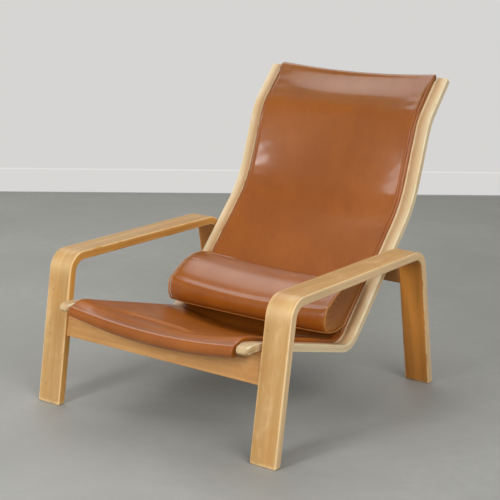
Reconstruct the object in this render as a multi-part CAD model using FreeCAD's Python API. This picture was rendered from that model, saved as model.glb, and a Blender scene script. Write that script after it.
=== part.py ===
"""Low lounge chair in millimetres: bent-wood arm loops, a leather sling on curved rails, a lumbar cushion."""
import FreeCAD, Part
import math
import os

from FreeCAD import Vector

# Arm loops: a wide laminated board bent into a front leg, an armrest and a rear leg
overall_width = 700.0
arm_height = 367.0
arm_board_width = 68.0
arm_board_thickness = 21.0
front_leg_top_y = 54.5
rear_leg_top_y = 643.5
rear_foot_y = 721.5
front_bend_radius = 50.0
rear_bend_radius = 55.0
arm_edge_round = 3.0
foot_chamfer = 3.0

# Seat rails: one curved rail each side runs from the seat's nose to the top of the back
rail_gap = 10.5
rail_width = 30.0
rail_thickness = 18.0
rail_nose = (-10.0, 257.7)
rail_curl_corner = (25.2, 265.2)
rail_seat_corner = (431.2, 156.4)
rail_back_corner = (709.4, 454.9)
rail_head_corner = (778.8, 662.1)
rail_end = (870.6, 764.7)
rail_curl_radius = 150.0
rail_seat_radius = 52.0
rail_back_radius = 270.0
rail_head_radius = 148.0
rail_nose_round = 6.0
rail_arris = 2.0

# Crossrails between the legs, and their dowels
crossrail_height = 65.0
crossrail_thickness = 20.0
front_crossrail_setback = 7.0
front_crossrail_bottom = 169.5
rear_crossrail_bottom = 269.5
crossrail_arris = 1.5
scoop_depth = 20.0
dowel_diameter = 8.0
dowel_length = 36.0
dowel_spacing = 34.0
dowel_clearance = 0.1

# Fixings under the rails: angles behind the front crossrail, wedge blocks in front of the rear one
bracket_width = 24.0
bracket_leg = 34.0
bracket_thickness = 3.0
block_width = 20.0
block_drop = 1.0
block_height = 20.0
block_rail_height = 28.0
screw_diameter = 4.0
screw_head_diameter = 8.0
screw_head_height = 2.4
screw_clearance = 0.1

# Stretchers behind the back, bowed to clear the sling
stretcher_height = 48.0
stretcher_thickness = 12.0
stretcher_lap = 14.5
stretcher_bow = 34.0
lower_stretcher_gap = 40.0
upper_stretcher_below_head = 225.0

# Battens on the rails' inner faces that carry the sling's corded edges
batten_width = 12.0
batten_thickness = 10.0
batten_drop = 2.0
batten_start = 34.0
batten_end_gap = 12.0
batten_screws_each = 6

# Sling: leather over foam on a cloth backing, hung in a shallow trough between the rails
edge_cord_diameter = 10.0
edge_cord_gap = 3.5
edge_cord_start = 27.0
edge_cord_end_gap = 5.0
sling_rise = 8.0
sling_sag = 28.0
sling_edge_thickness = 10.0
sling_middle_thickness = 14.0
roll_reach = 3.2
roll_thickness = 25.0
roll_rise = 2.3
roll_sag = 19.0
head_dip = 12.0
leather_thickness = 2.2
backing_thickness = 1.5
backing_start = 64.0
layer_gap = 0.3

# Loose lumbar cushion: a bolster with gusset ends in the bend between seat and back
cushion_left_gap = 1.5
cushion_right_gap = 3.5
cushion_lip = (-48.2, 34.6)
cushion_front = (-55.7, 62.6)
cushion_crease = (-51.2, 90.6)
cushion_top = (31.8, 107.6)
cushion_rear_top = (113.8, 120.6)
cushion_rear = (125.8, 113.6)
cushion_rear_low = (109.8, 100.6)
cushion_underside = (28.8, 62.6)
cushion_heart = (30.8, 81.6)
cushion_crown = 16.0
cushion_belly = 22.0
cushion_end_round = 7.0
cushion_cover_thickness = 2.0
cushion_clearance = 0.3
lip_diameter = 4.0
lip_gap = 0.7

# The origin is on the floor in the middle of the chair's overall depth
depth_shift = -435.5

half_width = overall_width / 2
leg_inner_x = half_width - arm_board_width
rail_outer_x = leg_inner_x - rail_gap
rail_inner_x = rail_outer_x - rail_width
cord_x = rail_inner_x - edge_cord_gap - edge_cord_diameter / 2
roll_half_width = rail_inner_x - edge_cord_gap
stretcher_half_width = rail_inner_x + stretcher_lap
cushion_left = cushion_left_gap - rail_inner_x
cushion_right = rail_inner_x - cushion_right_gap
sling_half_width = cord_x - edge_cord_diameter / 2 - layer_gap


def yz(point, x=0.0):
    """A Vector from a (y, z) pair at the given x."""
    return Vector(x, point[0], point[1])


def outward(direction):
    """The direction turned a quarter turn to the left as seen from +X."""
    return Vector(0, -direction.z, direction.y)


class Line:
    """A run of straight and round stretches in the Y-Z plane, measured along its length."""

    def __init__(self, corners, radii):
        self.edges = []
        start = yz(corners[0])
        for index, radius in enumerate(radii):
            corner = yz(corners[index + 1])
            before = (corner - yz(corners[index])).normalize()
            after = (yz(corners[index + 2]) - corner).normalize()
            turn = math.acos(before.dot(after))
            reach = radius * math.tan(turn / 2)
            arc_start = corner - before * reach
            arc_end = corner + after * reach
            inward = (after - before).normalize()
            middle = corner + inward * (radius / math.cos(turn / 2) - radius)
            if (arc_start - start).Length > 0.1:
                self.edges.append(Part.makeLine(start, arc_start))
            self.edges.append(Part.Arc(arc_start, middle, arc_end).toShape())
            start = arc_end
        self.edges.append(Part.makeLine(start, yz(corners[-1])))
        self.length = sum(edge.Length for edge in self.edges)

    def place(self, along):
        """The point, direction and outward normal at a length along the line, straight past its ends."""
        rest = along
        for edge in self.edges:
            if rest <= edge.Length or edge is self.edges[-1]:
                break
            rest -= edge.Length
        inside = min(max(rest, 0.0), edge.Length)
        parameter = edge.getParameterByLength(inside)
        direction = edge.tangentAt(parameter).normalize()
        point = edge.valueAt(parameter) + direction * (rest - inside)
        return point, direction, outward(direction)

    def along_at_height(self, height):
        """The length at which the line's rising last part reaches a height."""
        low = min(range(int(self.length)), key=lambda along: self.point(along).z)
        high = self.length
        while high - low > 1e-6:
            middle = (low + high) / 2
            if self.point(middle).z < height:
                low = middle
            else:
                high = middle
        return low

    def point(self, along, out=0.0, x=0.0):
        """The point at a length along the line, moved outwards and sideways."""
        point, direction, normal = self.place(along)
        return point + normal * out + Vector(x, 0, 0)

    def stretch(self, low, high, out, x=0.0):
        """Edges of the line moved outwards, between two lengths."""
        edges = []
        start = 0.0
        for edge in self.edges:
            end = start + edge.Length
            first = low if edge is self.edges[0] else max(low, start)
            last = high if edge is self.edges[-1] else min(high, end)
            if last - first > 1e-6:
                ends = [self.point(first, out, x), self.point(last, out, x)]
                if edge.Curve.TypeId == "Part::GeomLine":
                    edges.append(Part.makeLine(ends[0], ends[1]))
                else:
                    middle = self.point((first + last) / 2, out, x)
                    edges.append(Part.Arc(ends[0], middle, ends[1]).toShape())
            start = end
        return edges

    def strip(self, low, high, out_low, out_high, x_low, x_high):
        """A solid strip that follows the line between two lengths."""
        top = self.stretch(low, high, out_high, x_low)
        bottom = self.stretch(low, high, out_low, x_low)
        first = Part.makeLine(bottom[0].Vertexes[0].Point, top[0].Vertexes[0].Point)
        last = Part.makeLine(top[-1].Vertexes[-1].Point, bottom[-1].Vertexes[-1].Point)
        wire = Part.Wire(Part.__sortEdges__([first] + top + [last] + bottom))
        return Part.Face(wire).extrude(Vector(x_high - x_low, 0, 0))


def mirrored(shape):
    """The shape on the other side of the chair."""
    return shape.mirror(Vector(0, 0, 0), Vector(1, 0, 0))


def side_loops(shape, x_values):
    """The edges that lie in the planes at the given x values."""
    edges = []
    for edge in shape.Edges:
        box = edge.BoundBox
        if box.XLength < 1e-3 and any(abs(box.XMin - x) < 1e-3 for x in x_values):
            edges.append(edge)
    return edges


def cut_all(shape, tools):
    """The shape with each tool cut away."""
    for tool in tools:
        shape = shape.cut(tool)
    return shape


def screw(head_point, direction, length, clearance=0.0):
    """A flat-headed screw whose head top is at head_point and whose shank runs along direction."""
    head = Part.makeCylinder(screw_head_diameter / 2 + clearance, screw_head_height, head_point, direction)
    shank_start = head_point + direction * screw_head_height
    radius = screw_diameter / 2 + clearance
    shank = Part.makeCylinder(radius, length - screw_head_height, shank_start, direction)
    return head.fuse(shank).removeSplitter()


def screw_set(places):
    """The screws at the given places, and the slightly larger tools that cut their holes."""
    screws = [screw(point, direction, length) for point, direction, length in places]
    holes = [screw(point, direction, length, screw_clearance) for point, direction, length in places]
    return screws, holes


arm_line = Line(
    [(0.0, 0.0), (front_leg_top_y, arm_height), (rear_leg_top_y, arm_height), (rear_foot_y, 0.0)],
    [front_bend_radius, rear_bend_radius],
)
rail_line = Line(
    [rail_nose, rail_curl_corner, rail_seat_corner, rail_back_corner, rail_head_corner, rail_end],
    [rail_curl_radius, rail_seat_radius, rail_back_radius, rail_head_radius],
)
front_leg_up = arm_line.place(0.0)[1]
rear_leg_down = arm_line.place(arm_line.length)[1]
front_leg_back = -outward(front_leg_up)
rear_leg_back = outward(rear_leg_down)


def make_arm_frame():
    """The right arm loop, cut level at the floor, with rounded long edges and chamfered feet."""
    past_floor = 20.0
    loop_end = arm_line.length + past_floor
    loop = arm_line.strip(-past_floor, loop_end, -arm_board_thickness, 0.0, leg_inner_x, half_width)
    floor_cut = Part.makeBox(overall_width, 3 * rear_foot_y, arm_height, Vector(0, -rear_foot_y, -arm_height))
    loop = loop.cut(floor_cut)
    foot_edges = [edge for edge in loop.Edges if edge.BoundBox.ZMax < 1e-3]
    loop = loop.makeChamfer(foot_chamfer, foot_edges)
    loops = side_loops(loop, [leg_inner_x, half_width])
    above_feet = [edge for edge in loops if edge.BoundBox.ZMax > foot_chamfer + 1.0]
    return loop.makeFillet(arm_edge_round, above_feet)


def make_seat_rail():
    """The right seat rail, with a rounded nose and eased arrises."""
    rail = rail_line.strip(0.0, rail_line.length, -rail_thickness, 0.0, rail_inner_x, rail_outer_x)
    nose_edges = []
    for edge in rail.Edges:
        if edge.BoundBox.XLength > rail_width - 1 and edge.BoundBox.YMax < rail_curl_corner[0] - 20.0:
            nose_edges.append(edge)
    rail = rail.makeFillet(rail_nose_round, nose_edges)
    return rail.makeFillet(rail_arris, side_loops(rail, [rail_inner_x, rail_outer_x]))


def board_between_legs(front_bottom, up, back, height):
    """A crossrail from the middle of its lower front edge, its upward and backward directions and height."""
    corners = [
        front_bottom,
        front_bottom + up * height,
        front_bottom + up * height + back * crossrail_thickness,
        front_bottom + back * crossrail_thickness,
    ]
    left = Vector(-leg_inner_x, 0, 0)
    wire = Part.makePolygon([corner + left for corner in corners + corners[:1]])
    return Part.Face(wire).extrude(Vector(2 * leg_inner_x, 0, 0))


def x_edges(shape):
    """The edges that run the full width between the legs."""
    return [edge for edge in shape.Edges if edge.BoundBox.XLength > 2 * leg_inner_x - 1]


def scoop(start, direction):
    """The hollow that clears the sling, as a tool that runs from start along the rails' direction."""
    normal = outward(direction)
    reach = rail_inner_x - batten_width

    def at(x, out):
        return start + Vector(x, 0, 0) + normal * out

    hollow = Part.Wire([
        Part.Arc(
            at(-reach, -rail_thickness), at(0, -rail_thickness - scoop_depth), at(reach, -rail_thickness)
        ).toShape(),
        Part.makeLine(at(reach, -rail_thickness), at(reach, 30.0)),
        Part.makeLine(at(reach, 30.0), at(-reach, 30.0)),
        Part.makeLine(at(-reach, 30.0), at(-reach, -rail_thickness)),
    ])
    return Part.Face(hollow).extrude(direction * 160.0)


def make_front_crossrail():
    """The front crossrail, its top planed to the underside of the seat rails and scooped under the sling."""
    tall = board_between_legs(front_crossrail_foot, front_leg_up, front_leg_back, crossrail_height + 40.0)
    above = rail_line.strip(0.0, 200.0, -rail_thickness, 80.0, -half_width, half_width)
    board = tall.cut(above).cut(scoop(rail_line.point(80.0) - seat_direction * 90.0, seat_direction))
    lower = [edge for edge in x_edges(board) if edge.BoundBox.ZMax < front_crossrail_bottom + 10.0]
    return board.makeFillet(crossrail_arris, lower)


def make_rear_crossrail():
    """The rear crossrail, level with the front faces of the rear legs and scooped behind the sling."""
    board = board_between_legs(rear_crossrail_foot, -rear_leg_down, rear_leg_back, crossrail_height)
    board = board.makeFillet(crossrail_arris, x_edges(board))
    start, direction, normal = rail_line.place(rail_line.along_at_height(rear_crossrail_bottom))
    return board.cut(scoop(start, direction))


def dowel_places():
    """Middle points of the right-hand dowels, two in each joint of crossrail and leg."""
    front_depth = (arm_board_thickness - front_crossrail_setback) / 2
    rear_depth = crossrail_thickness / 2
    front = front_crossrail_foot + front_leg_up * (crossrail_height / 2) + front_leg_back * front_depth
    rear = rear_crossrail_foot - rear_leg_down * (crossrail_height / 2) + rear_leg_back * rear_depth
    places = []
    for middle, up in ((front, front_leg_up), (rear, rear_leg_down)):
        for side in (-1, 1):
            places.append(middle + up * (side * dowel_spacing / 2) + Vector(leg_inner_x, 0, 0))
    return places


def dowel(middle, clearance=0.0):
    """A dowel across the face between leg and crossrail, or with a clearance its pocket."""
    half = dowel_length / 2 + clearance
    start = middle - Vector(half, 0, 0)
    return Part.makeCylinder(dowel_diameter / 2 + clearance, 2 * half, start, Vector(1, 0, 0))


def meeting(point_a, direction_a, point_b, direction_b):
    """Where two lines in the Y-Z plane cross."""
    gap = point_b - point_a
    scale = direction_a.y * direction_b.z - direction_a.z * direction_b.y
    return point_a + direction_a * ((gap.y * direction_b.z - gap.z * direction_b.y) / scale)


def make_front_bracket():
    """The right steel angle: one leg on the crossrail's back face, one under the seat rail."""
    under = seat_underside
    along = seat_direction
    normal = outward(seat_direction)
    back_face = front_crossrail_foot + front_leg_back * crossrail_thickness
    bend_outer = meeting(under, along, back_face, front_leg_up)
    inner_under = under - normal * bracket_thickness
    inner_back = back_face + front_leg_back * bracket_thickness
    bend_inner = meeting(inner_under, along, inner_back, front_leg_up)
    corners = [
        bend_outer,
        bend_outer + along * bracket_leg,
        bend_outer + along * bracket_leg - normal * bracket_thickness,
        bend_inner,
        bend_outer - front_leg_up * bracket_leg + front_leg_back * bracket_thickness,
        bend_outer - front_leg_up * bracket_leg,
    ]
    left = Vector(bracket_x - bracket_width / 2, 0, 0)
    wire = Part.makePolygon([corner + left for corner in corners + corners[:1]])
    return Part.Face(wire).extrude(Vector(bracket_width, 0, 0)), bend_outer, along, normal


def bracket_screw_places(bend, along, normal):
    """Two screws up into the right seat rail and two forward into the front crossrail."""
    places = []
    reach = bracket_leg * 0.66
    for x in (bracket_x - 6.0, bracket_x + 6.0):
        rail_point = bend + along * reach - normal * (bracket_thickness + screw_head_height) + Vector(x, 0, 0)
        back_point = bend - front_leg_up * reach + Vector(x, 0, 0)
        back_point = back_point + front_leg_back * (bracket_thickness + screw_head_height)
        places.append((rail_point, normal, 16.0))
        places.append((back_point, -front_leg_back, 18.0))
    return places


def rail_back_point(height):
    """The point of the rail's back face at a height on its straight back stretch."""
    corner = yz(rail_seat_corner)
    direction = (yz(rail_back_corner) - corner).normalize()
    start = corner - outward(direction) * rail_thickness
    return start + direction * ((height - start.z) / direction.z)


def make_rear_block():
    """The right wedge between the rail's back face and the rear crossrail's front face."""
    def crossrail_point(height):
        return rear_crossrail_foot - rear_leg_down * ((height - rear_crossrail_foot.z) / -rear_leg_down.z)

    top = rear_crossrail_top - block_drop
    corners = [
        rail_back_point(top - block_rail_height),
        rail_back_point(top),
        crossrail_point(top),
        crossrail_point(top - block_height),
    ]
    left = Vector(block_x - block_width / 2, 0, 0)
    wire = Part.makePolygon([corner + left for corner in corners + corners[:1]])
    return Part.Face(wire).extrude(Vector(block_width, 0, 0))


def rear_block_screw_places():
    """One long screw on the right, from the rear crossrail's back through the block into the rail."""
    rise = rear_crossrail_top - block_drop - block_height / 2 - rear_crossrail_foot.z
    face = rear_crossrail_foot - rear_leg_down * (rise / -rear_leg_down.z)
    head = face + rear_leg_back * crossrail_thickness + Vector(block_x, 0, 0)
    return [(head, -rear_leg_back, 62.0)]


def make_stretcher(along):
    """A laminated board bowed backwards, its flat ends lapped on the rails' back faces."""
    middle, up, normal = rail_line.place(along)
    base = middle - normal * rail_thickness - up * (stretcher_height / 2)
    flat_x = rail_inner_x - 2.0
    bow_poles = [(-1.0, 0.0), (-0.84, 0.0), (-0.55, 1.0), (0.0, 1.0), (0.55, 1.0), (0.84, 0.0), (1.0, 0.0)]

    def at(x, out):
        return base + Vector(x, 0, 0) - normal * out

    def face_line(out):
        bowed = Part.BSplineCurve()
        points = [at(flat_x * across, out + stretcher_bow * depth) for across, depth in bow_poles]
        bowed.buildFromPoles(points, False, 3)
        return [
            Part.makeLine(at(-stretcher_half_width, out), at(-flat_x, out)),
            bowed.toShape(),
            Part.makeLine(at(flat_x, out), at(stretcher_half_width, out)),
        ]

    outer_ends = (-stretcher_half_width, stretcher_half_width)
    ends = [Part.makeLine(at(x, 0.0), at(x, stretcher_thickness)) for x in outer_ends]
    wire = Part.Wire(Part.__sortEdges__(face_line(0.0) + face_line(stretcher_thickness) + ends))
    return Part.Face(wire).extrude(up * stretcher_height)


def stretcher_screw_places():
    """Two screws through each right-hand end of the two stretchers into the rail."""
    places = []
    for along in (lower_stretcher_along, upper_stretcher_along):
        middle, up, normal = rail_line.place(along)
        back = middle - normal * (rail_thickness + stretcher_thickness)
        for side in (-14.0, 14.0):
            head = back + up * side + Vector(stretcher_screw_x, 0, 0)
            places.append((head, normal, 26.0))
    return places


def batten_screw_places():
    """Screws along the right batten, from its inner face into the rail."""
    first = batten_start + 26.0
    last = rail_line.length - batten_end_gap - 24.0
    places = []
    for index in range(batten_screws_each):
        along = first + (last - first) * index / (batten_screws_each - 1)
        out = -batten_drop - batten_thickness / 2
        places.append((rail_line.point(along, out, rail_inner_x - batten_width), Vector(1, 0, 0), 26.0))
    return places


def blend(value, low, high):
    """Zero below low, one above high, and a smooth rise between."""
    part = min(max((value - low) / (high - low), 0.0), 1.0)
    return part * part * (3 - 2 * part)


def sling_levels(along):
    """Half width, then outward levels of the sling: top edge, top middle, low middle and low edge."""
    roll_radius = roll_thickness / 2
    ahead = max(roll_middle_along - along, 0.0)
    half_roll = math.sqrt(max(roll_radius ** 2 - ahead ** 2, 4.0))
    settled = blend(along, roll_middle_along, 50.0)
    narrowed = blend(along, edge_cord_start / 2, edge_cord_start)
    half = roll_half_width + (sling_half_width - roll_half_width) * narrowed
    top_edge = (1 - settled) * (roll_middle_out + half_roll) + settled * sling_rise
    low_edge = (1 - settled) * (roll_middle_out - half_roll) + settled * (sling_rise - sling_edge_thickness)
    top_middle = top_edge - (1 - settled) * roll_sag - settled * sling_sag
    low_sag = sling_sag + sling_middle_thickness - sling_edge_thickness
    low_middle = low_edge - (1 - settled) * roll_sag - settled * low_sag
    return half, top_edge, top_middle, low_middle, low_edge


def sling_section(along, half, top_edge, top_middle, low_middle, low_edge):
    """A closed section across the sling, tipped near its head so that the middle dips below the corners."""
    point, direction, normal = rail_line.place(along)
    tip = head_dip / sling_sag * blend(along, rail_line.length - 70.0, rail_line.length)

    def at(x, out):
        return point + Vector(x, 0, 0) + normal * out + direction * (tip * (out - sling_rise))

    return Part.Wire([
        Part.Arc(at(-half, top_edge), at(0, top_middle), at(half, top_edge)).toShape(),
        Part.makeLine(at(half, top_edge), at(half, low_edge)),
        Part.Arc(at(half, low_edge), at(0, low_middle), at(-half, low_edge)).toShape(),
        Part.makeLine(at(-half, low_edge), at(-half, top_edge)),
    ])


def sling_stations(first, last):
    """Lengths at which sections are set, closest at the front roll and in the bends."""
    roll = [-1.0, 2.0, 6.0, 10.0, 16.0, 23.0, 31.0, 40.0, 50.0, 64.0, 85.0]
    seat = [120.0, 180.0, 240.0, 300.0, 350.0, 390.0]
    bend = [415.0, 432.0, 444.0, 456.0, 468.0, 482.0, 500.0]
    back = [530.0, 580.0, 640.0, 700.0, 750.0, 785.0, 810.0, 840.0, 870.0, 900.0, 930.0]
    head = [970.0, 1010.0, 1040.0, 1060.0, 1080.0, 1100.0, 1125.0, 1150.0, 1175.0, 1195.0]
    marks = roll + seat + bend + back + head
    return [first] + [mark for mark in marks if first + 1.0 < mark < last - 4.0] + [last]


def sling_outer():
    """The whole sling: leather, foam and all."""
    stations = sling_stations(0.4 - roll_reach, rail_line.length - 1.0)
    return Part.makeLoft([sling_section(along, *sling_levels(along)) for along in stations], True)


def sling_core(skin):
    """The space that far inside the sling: closed below inside the front roll, open below behind it."""
    sections = []
    first = 0.4 - roll_reach + leather_thickness / 2 + skin
    last = rail_line.length - leather_thickness - skin
    for along in sling_stations(first, last):
        half, top_edge, top_middle, low_middle, low_edge = sling_levels(along)
        low = skin - (skin + 8.0) * blend(along, 30.0, 48.0)
        levels = (top_edge - skin, top_middle - skin, low_middle + low, low_edge + low)
        sections.append(sling_section(along, half - skin, *levels))
    return Part.makeLoft(sections, True)


def sling_backing():
    """The cloth under the foam."""
    sections = []
    for along in sling_stations(backing_start, rail_line.length - 6.0):
        half, top_edge, top_middle, low_middle, low_edge = sling_levels(along)
        narrow = half - leather_thickness
        top_middle = low_middle - layer_gap
        top_edge = top_middle + (low_edge - low_middle) * (narrow / half) ** 2
        levels = (top_edge, top_middle, top_middle - backing_thickness, top_edge - backing_thickness)
        sections.append(sling_section(along, narrow, *levels))
    return Part.makeLoft(sections, True)


def under_sling(clearance):
    """The space from just above the sling's face downwards, wide enough to pass the edge cords."""
    reach = rail_inner_x + 1.0
    sections = []
    bend_low = sum(edge.Length for edge in rail_line.edges[:2])
    bend_high = sum(edge.Length for edge in rail_line.edges[:4])
    for along in sling_stations(bend_low - 120.0, bend_high):
        half, top_edge, top_middle, low_middle, low_edge = sling_levels(along)
        edge = top_middle + sling_sag * (reach / half) ** 2
        bottom_middle = top_middle - 2 * sling_sag
        levels = (edge + clearance, top_middle + clearance, bottom_middle, top_middle - sling_sag)
        sections.append(sling_section(along, reach, *levels))
    return Part.makeLoft(sections, True)


def make_edge_cord():
    """The right corded edge of the sling, lying on the batten."""
    last = rail_line.length - edge_cord_end_gap
    out = sling_rise - edge_cord_diameter / 2
    path = Part.Wire(rail_line.stretch(edge_cord_start, last, out, cord_x))
    start, direction, normal = rail_line.place(edge_cord_start)
    circle = Part.makeCircle(edge_cord_diameter / 2, rail_line.point(edge_cord_start, out, cord_x), direction)
    return path.makePipeShell([Part.Wire(circle)], True, False)


def cushion_section(x, inset):
    """A closed section of the cushion in the Y-Z plane: front roll, top, rear end and underside."""
    middle_x = (cushion_left + cushion_right) / 2
    across = (x - middle_x) / (cushion_right - middle_x)
    full = 1 - across ** 2
    corner = yz(rail_seat_corner, x)
    heart = corner + yz(cushion_heart)
    swelling = [
        (cushion_lip, 0.0, 5.0),
        (cushion_front, -7.5, 3.0),
        (cushion_crease, 0.0, 9.0),
        (cushion_top, 0.0, cushion_crown + 3.0),
        (cushion_rear_top, 0.0, 8.0),
        (cushion_rear, 0.0, 2.0),
        (cushion_rear_low, 0.0, 0.0),
        (cushion_underside, 0.0, -cushion_belly),
    ]
    points = []
    for place, deeper, higher in swelling:
        point = corner + yz(place) + Vector(0, deeper, higher) * full
        points.append(point + (heart - point).normalize() * inset)
    lip, front, crease, top, rear_top, rear, rear_low, belly = points
    return Part.Wire([
        Part.Arc(lip, front, crease).toShape(),
        Part.Arc(crease, top, rear_top).toShape(),
        Part.Arc(rear_top, rear, rear_low).toShape(),
        Part.Arc(rear_low, belly, lip).toShape(),
    ])


def cushion_form(skin):
    """The cushion's outer form, or the space inside a cover of the given thickness."""
    sections = []
    left = cushion_left + skin
    right = cushion_right - skin
    for x, inset in (
        (left, cushion_end_round),
        (left + 2.5, 2.2),
        (left + 8.0, 0.0),
        (left * 0.9, 0.0),
        (left * 0.75, 0.0),
        (left * 0.45, 0.0),
        (0.0, 0.0),
        (right * 0.45, 0.0),
        (right * 0.75, 0.0),
        (right * 0.9, 0.0),
        (right - 8.0, 0.0),
        (right - 2.5, 2.2),
        (right, cushion_end_round),
    ):
        sections.append(cushion_section(x, inset + skin))
    return Part.makeLoft(sections, True).cut(under_sling(cushion_clearance + skin))


def make_seam_lip():
    """The thin corded lip along the cushion's lower front seam."""
    reach = cushion_right - 9.0
    down = Vector(0, -2, -3).normalize() * (lip_diameter / 2 + lip_gap)
    points = []
    for x in (-reach, 0.0, reach):
        points.append(cushion_section(x, 0.0).Edges[0].Vertexes[0].Point + down)
    path = Part.Wire(Part.Arc(*points).toShape())
    start = path.Edges[0].tangentAt(path.Edges[0].FirstParameter)
    circle = Part.makeCircle(lip_diameter / 2, points[0], start)
    return path.makePipeShell([Part.Wire(circle)], True, False)


def both_sides(solids):
    """The solids and their mirror images, as separate solids of one group."""
    return Part.makeCompound(list(solids) + [mirrored(solid) for solid in solids])


front_crossrail_foot = arm_line.place(0.0)[0] + front_leg_back * front_crossrail_setback
front_crossrail_foot = front_crossrail_foot + front_leg_up * (
    (front_crossrail_bottom - front_crossrail_foot.z) / front_leg_up.z
)
rear_face_foot = yz((rear_foot_y, 0.0)) - rear_leg_back * arm_board_thickness
rear_crossrail_foot = rear_face_foot - rear_leg_down * (
    (rear_crossrail_bottom - rear_face_foot.z) / -rear_leg_down.z
)
seat_direction = (yz(rail_seat_corner) - yz(rail_curl_corner)).normalize()
seat_underside = yz(rail_seat_corner) - outward(seat_direction) * rail_thickness
bracket_x = rail_inner_x + rail_width / 2 - 2.0
block_x = rail_inner_x + rail_width / 2 - 2.0
stretcher_screw_x = (rail_inner_x + stretcher_half_width) / 2
roll_middle_along = roll_thickness / 2 - roll_reach
roll_middle_out = roll_rise - roll_thickness / 2
rear_crossrail_top = rear_crossrail_foot.z - rear_leg_down.z * crossrail_height
lower_stretcher_foot = rail_line.along_at_height(rear_crossrail_top) + lower_stretcher_gap
lower_stretcher_along = lower_stretcher_foot + stretcher_height / 2
upper_stretcher_along = rail_line.length - upper_stretcher_below_head


def build_nodes():
    """Every node's shape by name, still measured from the front feet."""
    bracket, bend, along, normal = make_front_bracket()
    bracket_screws, bracket_holes = screw_set(bracket_screw_places(bend, along, normal))
    block_screws, block_holes = screw_set(rear_block_screw_places())
    stretcher_screws, stretcher_holes = screw_set(stretcher_screw_places())
    batten_screws, batten_holes = screw_set(batten_screw_places())
    dowels = [dowel(place) for place in dowel_places()]
    pockets = [dowel(place, dowel_clearance) for place in dowel_places()]

    arm = cut_all(make_arm_frame(), pockets)
    rail = cut_all(make_seat_rail(), bracket_holes + block_holes + stretcher_holes + batten_holes)
    batten_end = rail_line.length - batten_end_gap
    batten_low = -batten_drop - batten_thickness
    batten_inner_x = rail_inner_x - batten_width
    batten = rail_line.strip(batten_start, batten_end, batten_low, -batten_drop, batten_inner_x, rail_inner_x)
    batten = cut_all(batten, batten_holes)
    front_holes = pockets[:2] + bracket_holes
    rear_holes = pockets[2:] + block_holes
    front_crossrail = cut_all(make_front_crossrail(), front_holes + [mirrored(hole) for hole in front_holes])
    rear_crossrail = cut_all(make_rear_crossrail(), rear_holes + [mirrored(hole) for hole in rear_holes])
    all_stretcher_holes = stretcher_holes + [mirrored(hole) for hole in stretcher_holes]
    outer = sling_outer()
    cord = make_edge_cord()
    cushion = cushion_form(0.0)
    stuffing = cushion_form(cushion_cover_thickness)
    return {
        "arm_frame_right": arm,
        "arm_frame_left": mirrored(arm),
        "front_crossrail": front_crossrail,
        "rear_crossrail": rear_crossrail,
        "crossrail_dowels": both_sides(dowels),
        "seat_rail_right": rail,
        "seat_rail_left": mirrored(rail),
        "lower_back_stretcher": cut_all(make_stretcher(lower_stretcher_along), all_stretcher_holes),
        "upper_back_stretcher": cut_all(make_stretcher(upper_stretcher_along), all_stretcher_holes),
        "stretcher_screws": both_sides(stretcher_screws),
        "sling_batten_right": batten,
        "sling_batten_left": mirrored(batten),
        "batten_screws": both_sides(batten_screws),
        "front_rail_brackets": both_sides([cut_all(bracket, bracket_holes)]),
        "bracket_screws": both_sides(bracket_screws),
        "rear_rail_blocks": both_sides([cut_all(make_rear_block(), block_holes)]),
        "rear_block_screws": both_sides(block_screws),
        "sling_leather": outer.cut(sling_core(leather_thickness)),
        "sling_foam": outer.common(sling_core(leather_thickness + layer_gap)),
        "sling_backing": sling_backing(),
        "sling_edge_cord_right": cord,
        "sling_edge_cord_left": mirrored(cord),
        "lumbar_cushion_cover": cushion.cut(stuffing),
        "lumbar_cushion_foam": stuffing,
        "cushion_seam_lip": make_seam_lip(),
    }


os.makedirs("parts", exist_ok=True)
for name, shape in build_nodes().items():
    shape.translate(Vector(0, depth_shift, 0))
    shape.exportStep("parts/" + name + ".step")
    box = shape.BoundBox
    print(f"{name:24s} solids {len(shape.Solids):2d} valid {shape.isValid()}", end=" ")
    print(f"volume {shape.Volume / 1000:9.1f} cm3 x {box.XMin:8.2f} {box.XMax:8.2f}", end=" ")
    print(f"y {box.YMin:8.2f} {box.YMax:8.2f} z {box.ZMin:8.2f} {box.ZMax:8.2f}")
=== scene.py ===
import math

import bmesh
import bpy
import numpy as np
from mathutils import Matrix, Vector


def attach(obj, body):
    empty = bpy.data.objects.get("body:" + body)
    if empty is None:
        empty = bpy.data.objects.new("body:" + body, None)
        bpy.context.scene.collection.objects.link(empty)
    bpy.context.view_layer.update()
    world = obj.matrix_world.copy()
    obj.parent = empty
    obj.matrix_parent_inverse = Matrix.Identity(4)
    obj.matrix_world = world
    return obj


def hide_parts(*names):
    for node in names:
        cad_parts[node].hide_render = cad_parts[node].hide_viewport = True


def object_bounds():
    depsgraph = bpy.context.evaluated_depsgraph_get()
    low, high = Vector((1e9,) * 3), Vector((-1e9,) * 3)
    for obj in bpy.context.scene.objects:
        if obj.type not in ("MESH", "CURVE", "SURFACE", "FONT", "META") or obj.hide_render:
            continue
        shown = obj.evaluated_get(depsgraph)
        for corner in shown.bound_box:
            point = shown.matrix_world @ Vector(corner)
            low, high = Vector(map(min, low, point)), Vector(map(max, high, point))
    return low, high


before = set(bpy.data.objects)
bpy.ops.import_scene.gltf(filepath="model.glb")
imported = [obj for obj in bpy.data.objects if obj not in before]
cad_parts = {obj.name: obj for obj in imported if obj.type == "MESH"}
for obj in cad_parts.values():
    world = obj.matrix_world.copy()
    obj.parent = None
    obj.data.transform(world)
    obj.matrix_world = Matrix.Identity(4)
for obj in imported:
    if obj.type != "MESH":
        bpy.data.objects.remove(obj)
cad_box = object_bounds()

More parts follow.
